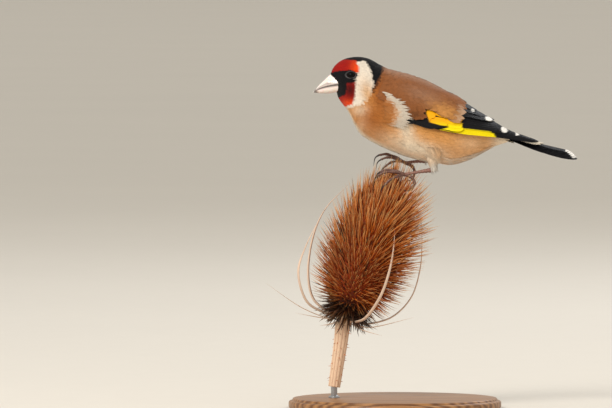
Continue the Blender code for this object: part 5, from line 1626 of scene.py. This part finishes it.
def spine_places(rng):
    """Where the head's spines stand: share, turn, lean, length, how dark they are, and width.

    The long spines come first, then the short scales between them, then the skirt under the head.
    """
    look = bpy.context.scene.goldfinch_teasel
    count, scales, skirt = look.spines, look.spines // 2, look.spines // 13
    shares = np.linspace(0.015, 0.99, 80)
    spread = np.cumsum(cone_radius(shares) + 2.0)
    spread = (spread - spread[0]) / (spread[-1] - spread[0])
    k = np.arange(count)
    share = np.interp((k + 0.5) / count, spread, shares)
    turn = k * GOLDEN_ANGLE + rng.normal(0, 0.02, count)
    facing = cone_normal(share, turn)
    lean = -14 + 62 * share ** 0.6 + 16 * np.clip(-facing[:, 0], -0.6, 1) + 12 * np.abs(facing[:, 1])
    lean = lean * smooth_step(share, -0.05, 0.16) + rng.normal(0, 6, count)
    length = between(SPINE_LENGTHS, share * (len(SPINE_LENGTHS) - 1))[:, 0] * rng.uniform(0.8, 1.1, count)
    length = np.where(rng.random(count) < 0.45, length * rng.uniform(0.5, 0.8, count), length)
    length = length * (1 + 0.28 * np.clip(facing[:, 0], 0, 1) * smooth_step(share, 0.3, 0.5))
    # painted shade darkens the spines near the head's base; a few others are dark at random, more of them on
    # the side facing -x
    spine_dark_and_shade = smooth_step(-share, -0.15, -0.045) + (rng.random(count) < 0.06 + 0.07 * (facing[:, 0] < -0.3))
    width = np.full(count, look.spine_width / MM / 2)
    k = np.arange(scales)
    low = np.interp((k + 0.5) / scales, spread, shares)
    return (np.concatenate(values) for values in zip(
        (share, turn, lean, length, np.clip(spine_dark_and_shade, 0, 1), width),
        # the scales near the head's base and the whole skirt under it are painted dark as shade
        (low, k * GOLDEN_ANGLE + 0.4, 30 + 30 * smooth_step(low, 0.05, 0.3) + rng.normal(0, 6, scales),
         rng.uniform(3.4, 5.4, scales), 0.9 * smooth_step(-low, -0.15, -0.045),
         rng.uniform(0.7, 0.95, scales)),
        (rng.uniform(0.0, 0.05, skirt), rng.uniform(0, 2 * math.pi, skirt), rng.uniform(-50, 5, skirt),
         rng.uniform(5.0, 12.0, skirt), rng.uniform(0.85, 1.0, skirt), rng.uniform(0.6, 1.1, skirt)),
    ))


def spine_paths(share, turn, lean, length, rng):
    """The spines' middle lines in steps, and for each one its run, its way up the head and what is kept."""
    count = len(share)
    lean = np.radians(lean)
    normal = cone_normal(share, turn)
    up = unit(CONE_AXIS - normal * dot(np.broadcast_to(CONE_AXIS, normal.shape), normal)[:, None])
    side = np.cross(normal, up)
    sway = rng.normal(0, 0.09, count)
    run = unit(normal * np.cos(lean)[:, None] + up * np.sin(lean)[:, None] + side * sway[:, None])
    root = cone_point(share, turn, np.full(count, -SPINE_SINK))
    steps = np.linspace(0, 1, SPINE_STEPS)
    path = root[:, None] + run[:, None] * (length[:, None] * steps)[..., None]
    path = path + up[:, None] * (length[:, None] * rng.normal(0.13, 0.05, (count, 1)) * steps ** 2)[..., None]
    path = path + side[:, None] * (length * rng.normal(0, 0.05, count))[:, None, None] * (steps ** 2)[:, None]
    fine = between(np.moveaxis(path, 1, 0).reshape(SPINE_STEPS, -1), np.linspace(0, SPINE_STEPS - 1, 15))
    fine = fine.reshape(15, count, 3)
    belly = np.interp(fine[..., 0], *BELLY)
    blocked = away_from_lines(fine, leg_lines()) < LEG_GAP
    blocked |= (fine[..., 2] > belly - BELLY_GAP) & (np.abs(fine[..., 1]) < 16)
    kept = np.clip((np.where(blocked.any(0), blocked.argmax(0), 15) - 1) / 14, 0, 1)
    return path, run, up, kept


def build_core():
    """The pitted core of the teasel head."""
    look = bpy.context.scene.goldfinch_teasel
    core_look, _ = toned_material("Teasel core", 700, 120, 0.6, 0.85, 0.3)
    share, turn = crossed(np.linspace(0.0, 0.995, 90), full_turn(72))
    pits = 0.35 * np.sin(share * 120 + turn * 8) * np.sin(share * 120 - turn * 13)
    rings = cone_point(share, turn, pits * np.sin(share * math.pi) - 0.3)
    rings[0] -= CONE_AXIS * CONE_SKIRT
    # painted shade: the core darkens towards its base and in its pits
    tones = mix(look.core, look.dark_and_shade,
                0.9 * smooth_step(-share, -0.17, -0.05) + 0.4 * smooth_step(-pits, 0.0, 0.3))
    tones = capped(tones, look.dark_and_shade, look.core)
    hold(mesh_piece("teasel_core", *lofted(rings), core_look, tones), "teasel", "teasel_head")


def build_spines():
    """Fine stiff spines that lean up, cut short where legs or belly are in the way."""
    look = bpy.context.scene.goldfinch_teasel
    rng = np.random.default_rng(7)
    share, turn, lean, length, spine_dark_and_shade, width = spine_places(rng)
    path, run, up, kept = spine_paths(share, turn, lean, length, rng)
    keep = kept > LEAST_SPINE
    run, up, path, share, kept, spine_dark_and_shade, width = (
        values[keep] for values in (run, up, path, share, kept, spine_dark_and_shade, width)
    )
    count = len(path)
    steps = np.linspace(0, 1, SPINE_STEPS)
    rolls = full_turn(SPINE_SIDES)
    along = steps[None] * (0.4 + 0.6 * kept[:, None])
    path = path[:, :1] + (path - path[:, :1]) * kept[:, None, None]
    radius = width[:, None] * (0.1 + 0.9 * (1 - steps) ** 0.9) * (1 - 0.35 * np.exp(-(steps / 0.1)))
    radius[:, -1] = SPINE_TIP
    side_way = np.cross(run, up)
    lift_way = np.cross(side_way, run)
    rings = (path[:, :, None]
             + side_way[:, None, None] * (np.cos(rolls) * radius[..., None])[..., None]
             + lift_way[:, None, None] * (np.sin(rolls) * (radius * 0.6)[..., None])[..., None])
    points = rings.reshape(-1, 3)
    last = (SPINE_STEPS - 1) * SPINE_SIDES
    cap = np.array([(last, last + m + 1, last + m) for m in range(1, SPINE_SIDES - 1)])
    foot = np.array([(0, m, m + 1) for m in range(1, SPINE_SIDES - 1)])
    one = np.concatenate([grid_faces(SPINE_STEPS, SPINE_SIDES, closed=True), cap, foot])
    a, b, c = (points[one[:, m]] - points[0] for m in range(3))
    if dot(a, np.cross(b, c)).sum() < 0:
        one = one[:, ::-1]
    faces = (one[None] + (np.arange(count) * SPINE_STEPS * SPINE_SIDES)[:, None, None]).reshape(-1, 3)
    tones = mix(look.husk, look.core, smooth_step(-along, -0.4, -0.1))
    tones = mix(tones, look.core, 0.6 * np.exp(-((share - 0.28) / 0.15) ** 2)[:, None])
    pale = np.interp(share, (0.1, 0.35, 0.7), (0.8, 0.7, 1.1))[:, None] * rng.uniform(0.3, 0.95, (count, 1))
    tones = mix(tones, look.straw, smooth_step(along, 0.35, 0.95) * pale)
    # painted shade near the head's base, and random dark spines
    tones = mix(tones, look.dark_and_shade, 0.97 * spine_dark_and_shade[:, None])
    tones = tones * rng.uniform(0.65, 1.25, (count, 1, 1))
    # painted light: each spine is lighter on its side facing up the head and darker on the other
    tones = np.repeat(tones[:, :, None], SPINE_SIDES, 2) * (1 + 0.18 * np.sin(rolls)[:, None])
    spine_look, _ = toned_material("Teasel spines", 1100, 200, 0.4, 0.5, 0.03)
    hold(mesh_piece("teasel_spines", points, faces, spine_look, tones.reshape(-1, 3)), "teasel")


STEM_END = np.array((-28.6, 0.0, 10.2))
STEM_RADII = (2.75, 3.7)  # at its lower and its upper end
STEM_RIDGES, STEM_PRICKLES = 11, 46
STEM_RINGS, STEM_SIDES = 120, 132
COLLAR_RADIUS, COLLAR_LENGTH = 4.6, 4.6


def build_stalk():
    """The ridged stalk with its small prickles and the collar under the head."""
    look = bpy.context.scene.goldfinch_teasel
    rng = np.random.default_rng(3)
    top = CONE_BASE - CONE_AXIS * (CONE_SKIRT + 0.1)
    knots = (STEM_END, (-26.8, 0.0, 22.5), (-25.4, 0.0, 32.0), top - CONE_AXIS * COLLAR_LENGTH, top)
    path = smooth_path(knots, STEM_RINGS)

    def reach(share, turn):
        ribs = 0.07 * np.abs(np.cos(turn * STEM_RIDGES / 2)) + 0.012 * np.sin(turn * 37 + share * 9)
        base = STEM_RADII[0] + (STEM_RADII[1] - STEM_RADII[0]) * share
        flare = (COLLAR_RADIUS - STEM_RADII[1]) * smooth_step(share, 0.84, 0.97)
        return (base + flare) * (0.96 + ribs)

    share, turn = crossed(np.linspace(0, 1, STEM_RINGS), full_turn(STEM_SIDES))
    rib = np.abs(np.cos(turn * STEM_RIDGES / 2))
    # painted shade: the grooves between the stalk's ridges are darker
    tones = mix(look.stalk, np.array(look.core) * 0.9, 0.55 * (1 - rib) ** 3)
    tones = mix(tones, look.dark_and_shade, 0.35 * (rng.random(share.shape) < 0.02))
    parts = [(*lofted(tube(path, reach, STEM_SIDES)), capped(tones, look.stalk, look.core))]
    for k in range(STEM_PRICKLES):
        spot = 0.04 + 0.78 * (k + rng.uniform(0, 1)) / STEM_PRICKLES
        turn = k * GOLDEN_ANGLE + rng.normal(0, 0.2)
        middle = path[int(spot * (STEM_RINGS - 1))]
        out = np.array((math.cos(turn), math.sin(turn), rng.uniform(-0.5, 0.1)))
        radius = STEM_RADII[0] + (STEM_RADII[1] - STEM_RADII[0]) * spot
        line = smooth_path((middle + out * (radius - 0.9), middle + out * (radius + 0.1),
                            middle + out * (radius + rng.uniform(0.7, 1.6)) + (0, 0, -0.15)), 6)
        rings = tube(line, lambda share, turn: 0.3 * (1 - 0.92 * share), 6)
        parts.append((*lofted(rings), np.array(look.husk) * rng.uniform(0.5, 1.1)))
    points, faces, tones = joined(parts)
    fibre, _ = toned_material("Dry stalk", 500, 60, 0.35, 0.75, 0.05, (4, 4, 0.5))
    hold(mesh_piece("stalk", points, faces, fibre, tones), "stem", "teasel_stem")


# The bracts: the way they leave the head in degrees, points of their line (out from the head's middle line
# and up along it), width, and how dark their lower ends are. The first six have more prickles.
BRACTS = (
    (172, ((4.9, -1.7), (9.0, -1.4), (17.6, 2.6), (23.6, 14.0), (26.4, 30.0), (25.0, 44.0), (18.4, 58.0)),
     2.1, 0.1),
    (194, ((4.9, -1.7), (10.0, -2.2), (20.4, 0.4), (28.6, 12.0), (29.2, 25.0), (27.2, 39.0)), 2.1, 0.5),
    (304, ((4.9, -1.7), (9.5, -1.6), (17.0, 2.6), (22.4, 14.0), (22.6, 26.0), (19.6, 37.0), (15.0, 46.2)),
     1.5, 0.1),
    (8, ((4.9, -1.7), (10.5, -1.4), (21.0, 5.4), (26.8, 17.0), (26.6, 31.0), (23.2, 44.0), (18.5, 56.4)),
     1.3, 0.2),
    (62, ((4.9, -1.7), (9.5, -1.6), (19.0, 3.0), (24.5, 16.0), (24.8, 30.0), (19.2, 46.0)), 1.4, 0.2),
    (118, ((4.9, -1.7), (9.5, -1.6), (19.5, 2.8), (25.0, 15.0), (24.2, 32.0), (18.0, 45.0)), 1.4, 0.2),
    (206, ((4.9, -3.3), (12.0, -4.2), (26.0, -2.6), (46.0, 3.0)), 0.9, 0.3),
    (223, ((4.9, -3.3), (14.0, -4.6), (33.0, -5.9)), 0.9, 0.85),
    (340, ((4.9, -3.3), (14.5, -1.6), (32.5, 9.0)), 0.9, 0.6),
    (242, ((4.9, -3.3), (12.0, -6.0), (23.0, -8.0)), 0.9, 0.9),
    (320, ((4.9, -3.3), (13.0, -4.2), (25.5, -3.6)), 0.9, 0.85),
)
BRACT_RINGS, BRACT_SIDES = 90, 10


def bract_way(degrees):
    turn = math.radians(degrees)
    out = np.array((math.cos(turn), math.sin(turn), 0.0))
    return unit(out - CONE_AXIS * np.dot(out, CONE_AXIS))


def build_bracts():
    """The long bracts that rise round the head and the short ones under it, with their prickles."""
    look = bpy.context.scene.goldfinch_teasel
    fibre, _ = toned_material("Bract", 600, 70, 0.4, 0.6, 0.04, (3, 3, 0.6))
    share = np.linspace(0, 1, BRACT_RINGS)
    rolls = full_turn(BRACT_SIDES)
    for number, (degrees, knots, width, dark) in enumerate(BRACTS):
        rng = np.random.default_rng(200 + number)
        out = bract_way(degrees)
        wide = np.cross(CONE_AXIS, out)
        path = smooth_path([CONE_BASE + out * a + CONE_AXIS * b for a, b in knots], BRACT_RINGS)
        path = path + wide * (rng.normal(0, 0.4) * share ** 2)[:, None]
        taper = np.interp(share, (0, 0.05, 0.15, 0.65, 1), (0.6, 0.9, 1.0, 0.7, 0.06)) * width * 0.66
        tangents = path_frames(path)[0]
        thin = unit(np.cross(tangents, wide))
        keel = 0.35 + 0.25 * (np.sin(rolls) < 0) * np.abs(np.sin(rolls))
        rings = (path[:, None] + wide * (np.cos(rolls) * taper[:, None])[..., None]
                 + thin[:, None] * (np.sin(rolls) * keel * taper[:, None])[..., None])
        fade = smooth_step(-share, -0.6, 0.0)
        tones = mix(look.bract, look.dark_and_shade, dark * fade[:, None] * (0.5 + 0.5 * (np.cos(rolls) > 0))[None])
        parts = [(*lofted(rings), capped(tones, look.dark_and_shade, look.bract))]
        prickles = 14 if number < 6 else 6
        for k in range(prickles):
            spot = int(8 + 70 * k / prickles)
            side = 1 if k % 2 else -1
            start = path[spot] + wide * side * taper[spot] * 0.6
            lean = wide * side * 0.9 - thin[spot] * 0.3 + tangents[spot] * 0.5
            end = start + lean * rng.uniform(0.5, 1.0)
            rings = tube(np.linspace(start, end, 4), lambda share, turn: 0.14 * (1 - 0.9 * share), 5)
            parts.append((*lofted(rings), np.array(look.bract) * 0.7))
        points, faces, tones = joined(parts)
        blade = mesh_piece(f"bract_blade_{number + 1}", points, faces, fibre, tones)
        hold(blade, "stem", f"bract_{number + 1}")


# Outlines of the turned base and the rod as radius and height, in millimetres
BASE_PROFILE = ((0.0, 0.0), (48.6, 0.0), (49.6, 0.3), (50.0, 1.0), (50.0, 2.9), (49.7, 3.5), (49.0, 3.8),
                (48.4, 3.9), (48.2, 4.1), (48.1, 4.6), (47.8, 4.9), (47.2, 5.0), (0.0, 5.0))
ROD_LOW, ROD_HIGH = 5.02, 10.1
ROD_PROFILE = ((0.05, ROD_LOW), (2.6, ROD_LOW), (2.7, ROD_LOW + 0.15), (2.6, ROD_LOW + 0.7),
               (1.7, ROD_LOW + 0.95), (1.5, ROD_LOW + 1.2), (1.5, ROD_HIGH), (0.05, ROD_HIGH))


def turned(profile, sides, x=0.0):
    """Points and triangles of a body turned round an upright line."""
    rings = [[(x + max(r, 0.01) * math.cos(t), max(r, 0.01) * math.sin(t), z) for t in full_turn(sides)]
             for r, z in profile]
    return lofted(rings)


def build_stand():
    """The turned oak base and the brushed steel rod."""
    look = bpy.context.scene.goldfinch_stand
    oak, tree, shader = new_material("Oiled oak", 0.4)
    place = node(tree, "ShaderNodeTexCoord")
    spread = node(tree, "ShaderNodeMapping", {"Vector": place.outputs["Object"], "Scale": (1.0, 9.0, 9.0)})
    rings = node(tree, "ShaderNodeTexWave", {"Vector": spread.outputs[0], "Scale": 8.0, "Distortion": 9.0,
                                             "Detail": 4.0, "Detail Scale": 1.4},
                 wave_type="BANDS", bands_direction="Y")
    mixed = node(tree, "ShaderNodeMix", {"Factor": rings.outputs["Fac"]}, data_type="RGBA")
    first, second = (socket for socket in mixed.inputs if socket.type == "RGBA")
    first.default_value = (*look.grain, 1)
    second.default_value = (*look.oak, 1)
    colour = next(socket for socket in mixed.outputs if socket.type == "RGBA")
    height = streaked(tree, shader, colour, (1.0, 14.0, 14.0), 160, 30, 0.3, 0.42)
    raised = node(tree, "ShaderNodeBump", {"Strength": 0.35, "Distance": 0.0001, "Height": height})
    tree.links.new(raised.outputs[0], shader.inputs["Normal"])
    hold(mesh_piece("oak_base", *turned(BASE_PROFILE, 144), oak, sharp=30), "wood", "stand_base")

    steel, tree, shader = new_material("Brushed steel", 0.3)
    shader.inputs["Metallic"].default_value = 1.0
    streaked(tree, shader, (*look.steel, 1), (1.0, 1.0, 12.0), 500, 90, 0.2, 0.3)
    rod = mesh_piece("steel_rod", *turned(ROD_PROFILE, 64, STEM_END[0]), steel, sharp=30)
    hold(rod, "steel", "stand_rod")


def soft_light(name, place, target, size, power, colour):
    lamp = bpy.data.lights.new(name, "AREA")
    lamp.shape = "DISK"
    lamp.size = size
    lamp.energy = power
    lamp.color = colour
    made = bpy.data.objects.new(name, lamp)
    made.location = place
    made.rotation_euler = direction_angles(np.subtract(target, place))
    bpy.context.scene.collection.objects.link(made)


def direction_angles(way):
    """Euler angles that turn a light or camera, which look down, to a direction."""
    return Vector(way).to_track_quat("-Z", "Y").to_euler()


FLOOR_PROFILE = ((30000.0, -0.05), (30000.0, -0.55))


def build_stage():
    """The pale floor, soft studio light and camera."""
    look = bpy.context.scene.goldfinch_studio
    paper, tree, shader = new_material("Studio floor", 0.85)
    streaked(tree, shader, (*look.floor, 1), (1, 1, 1), 60, 3, 0.04, 0.85)
    mesh_piece("studio_floor", *turned(FLOOR_PROFILE, 96), paper)

    world = bpy.data.worlds.new("Studio air")
    world.use_nodes = True
    background = world.node_tree.nodes["Background"]
    background.inputs["Color"].default_value = (*look.air_colour, 1)
    background.inputs["Strength"].default_value = look.air
    bpy.context.scene.world = world
    aim = tuple(look.view_centre)
    bird = (0.0, 0.0, 0.13)
    soft_light("key", (-0.9, -1.3, 1.35), bird, 0.9, look.key, (1.0, 0.96, 0.9))
    soft_light("back", (0.9, 1.2, 1.3), bird, 1.0, look.rim, (0.92, 0.95, 1.0))

    camera = bpy.data.cameras.new("camera")
    camera.sensor_width = 36.0
    camera.lens = camera.sensor_width * look.distance / look.view_width
    camera.clip_start, camera.clip_end = 0.05, 100.0
    made = bpy.data.objects.new("camera", camera)
    tilt = look.height_angle
    made.location = (aim[0], aim[1] - look.distance * math.cos(tilt), aim[2] + look.distance * math.sin(tilt))
    made.rotation_euler = direction_angles(np.subtract(aim, made.location))
    bpy.context.scene.collection.objects.link(made)
    bpy.context.scene.camera = made
    bpy.context.scene.view_settings.view_transform = "Standard"


class GOLDFINCH_OT_skin(bpy.types.Operator):
    """Makes the one skin under the feathers"""
    bl_idname = "goldfinch.skin"
    bl_label = "Skin"

    def execute(self, context):
        build_skin()
        return {"FINISHED"}


class GOLDFINCH_OT_coat(bpy.types.Operator):
    """Lays the feathers of head, body and thighs"""
    bl_idname = "goldfinch.coat"
    bl_label = "Body feathers"

    def execute(self, context):
        build_coat()
        build_thigh_coat()
        build_vent()
        return {"FINISHED"}


class GOLDFINCH_OT_wings(bpy.types.Operator):
    """Makes the folded wings with the shoulder feathers and the fringe over their bends"""
    bl_idname = "goldfinch.wings"
    bl_label = "Wings"

    def execute(self, context):
        for name in SIDES:
            build_wing(name)
        build_scapulars()
        build_bend_fringe()
        return {"FINISHED"}


class GOLDFINCH_OT_tail(bpy.types.Operator):
    """Makes the tail and the feathers that cover its root"""
    bl_idname = "goldfinch.tail"
    bl_label = "Tail"

    def execute(self, context):
        build_tail()
        build_tail_covers()
        return {"FINISHED"}


class GOLDFINCH_OT_bill(bpy.types.Operator):
    """Makes the two halves of the bill"""
    bl_idname = "goldfinch.bill"
    bl_label = "Bill"

    def execute(self, context):
        build_bill()
        return {"FINISHED"}


class GOLDFINCH_OT_eyes(bpy.types.Operator):
    """Makes the eyeballs and their lids"""
    bl_idname = "goldfinch.eyes"
    bl_label = "Eyes"

    def execute(self, context):
        build_eyes()
        return {"FINISHED"}


class GOLDFINCH_OT_legs(bpy.types.Operator):
    """Makes the scaled legs and feet and their claws"""
    bl_idname = "goldfinch.legs"
    bl_label = "Legs and claws"

    def execute(self, context):
        build_legs()
        build_claws()
        return {"FINISHED"}


class GOLDFINCH_OT_teasel(bpy.types.Operator):
    """Makes the teasel head with its spines, stalk and bracts"""
    bl_idname = "goldfinch.teasel"
    bl_label = "Teasel"

    def execute(self, context):
        build_core()
        build_spines()
        build_stalk()
        build_bracts()
        return {"FINISHED"}


class GOLDFINCH_OT_stand(bpy.types.Operator):
    """Makes the display stand"""
    bl_idname = "goldfinch.stand"
    bl_label = "Stand"

    def execute(self, context):
        build_stand()
        return {"FINISHED"}


class GOLDFINCH_OT_stage(bpy.types.Operator):
    """Sets the floor, the lights and the camera"""
    bl_idname = "goldfinch.stage"
    bl_label = "Studio"

    def execute(self, context):
        build_stage()
        return {"FINISHED"}


OPERATORS = (GOLDFINCH_OT_stage, GOLDFINCH_OT_skin, GOLDFINCH_OT_coat, GOLDFINCH_OT_wings, GOLDFINCH_OT_tail,
             GOLDFINCH_OT_bill, GOLDFINCH_OT_eyes, GOLDFINCH_OT_legs, GOLDFINCH_OT_teasel, GOLDFINCH_OT_stand)
SETTINGS = {
    "goldfinch_plumage": PlumageSettings,
    "goldfinch_horn": HornSettings,
    "goldfinch_teasel": TeaselSettings,
    "goldfinch_stand": StandSettings,
    "goldfinch_studio": StudioSettings,
}


class GOLDFINCH_PT_panel(bpy.types.Panel):
    """Lists the model's settings and the buttons that build its pieces"""
    bl_idname = "GOLDFINCH_PT_panel"
    bl_label = "Goldfinch"
    bl_space_type = "VIEW_3D"
    bl_region_type = "UI"
    bl_category = "Goldfinch"

    def draw(self, context):
        for name, group in SETTINGS.items():
            box = self.layout.box()
            for setting in group.__annotations__:
                box.prop(getattr(context.scene, name), setting)
        for operator in OPERATORS:
            self.layout.operator(operator.bl_idname)


CLASSES = (*SETTINGS.values(), *OPERATORS, GOLDFINCH_PT_panel)


def register():
    for made in CLASSES:
        bpy.utils.register_class(made)
    for name, group in SETTINGS.items():
        setattr(bpy.types.Scene, name, PointerProperty(type=group))


def unregister():
    for name in SETTINGS:
        delattr(bpy.types.Scene, name)
    for made in reversed(CLASSES):
        bpy.utils.unregister_class(made)


def main():
    register()
    for operator in OPERATORS:
        group, name = operator.bl_idname.split(".")
        getattr(getattr(bpy.ops, group), name)()


if __name__ == "__main__":
    main()
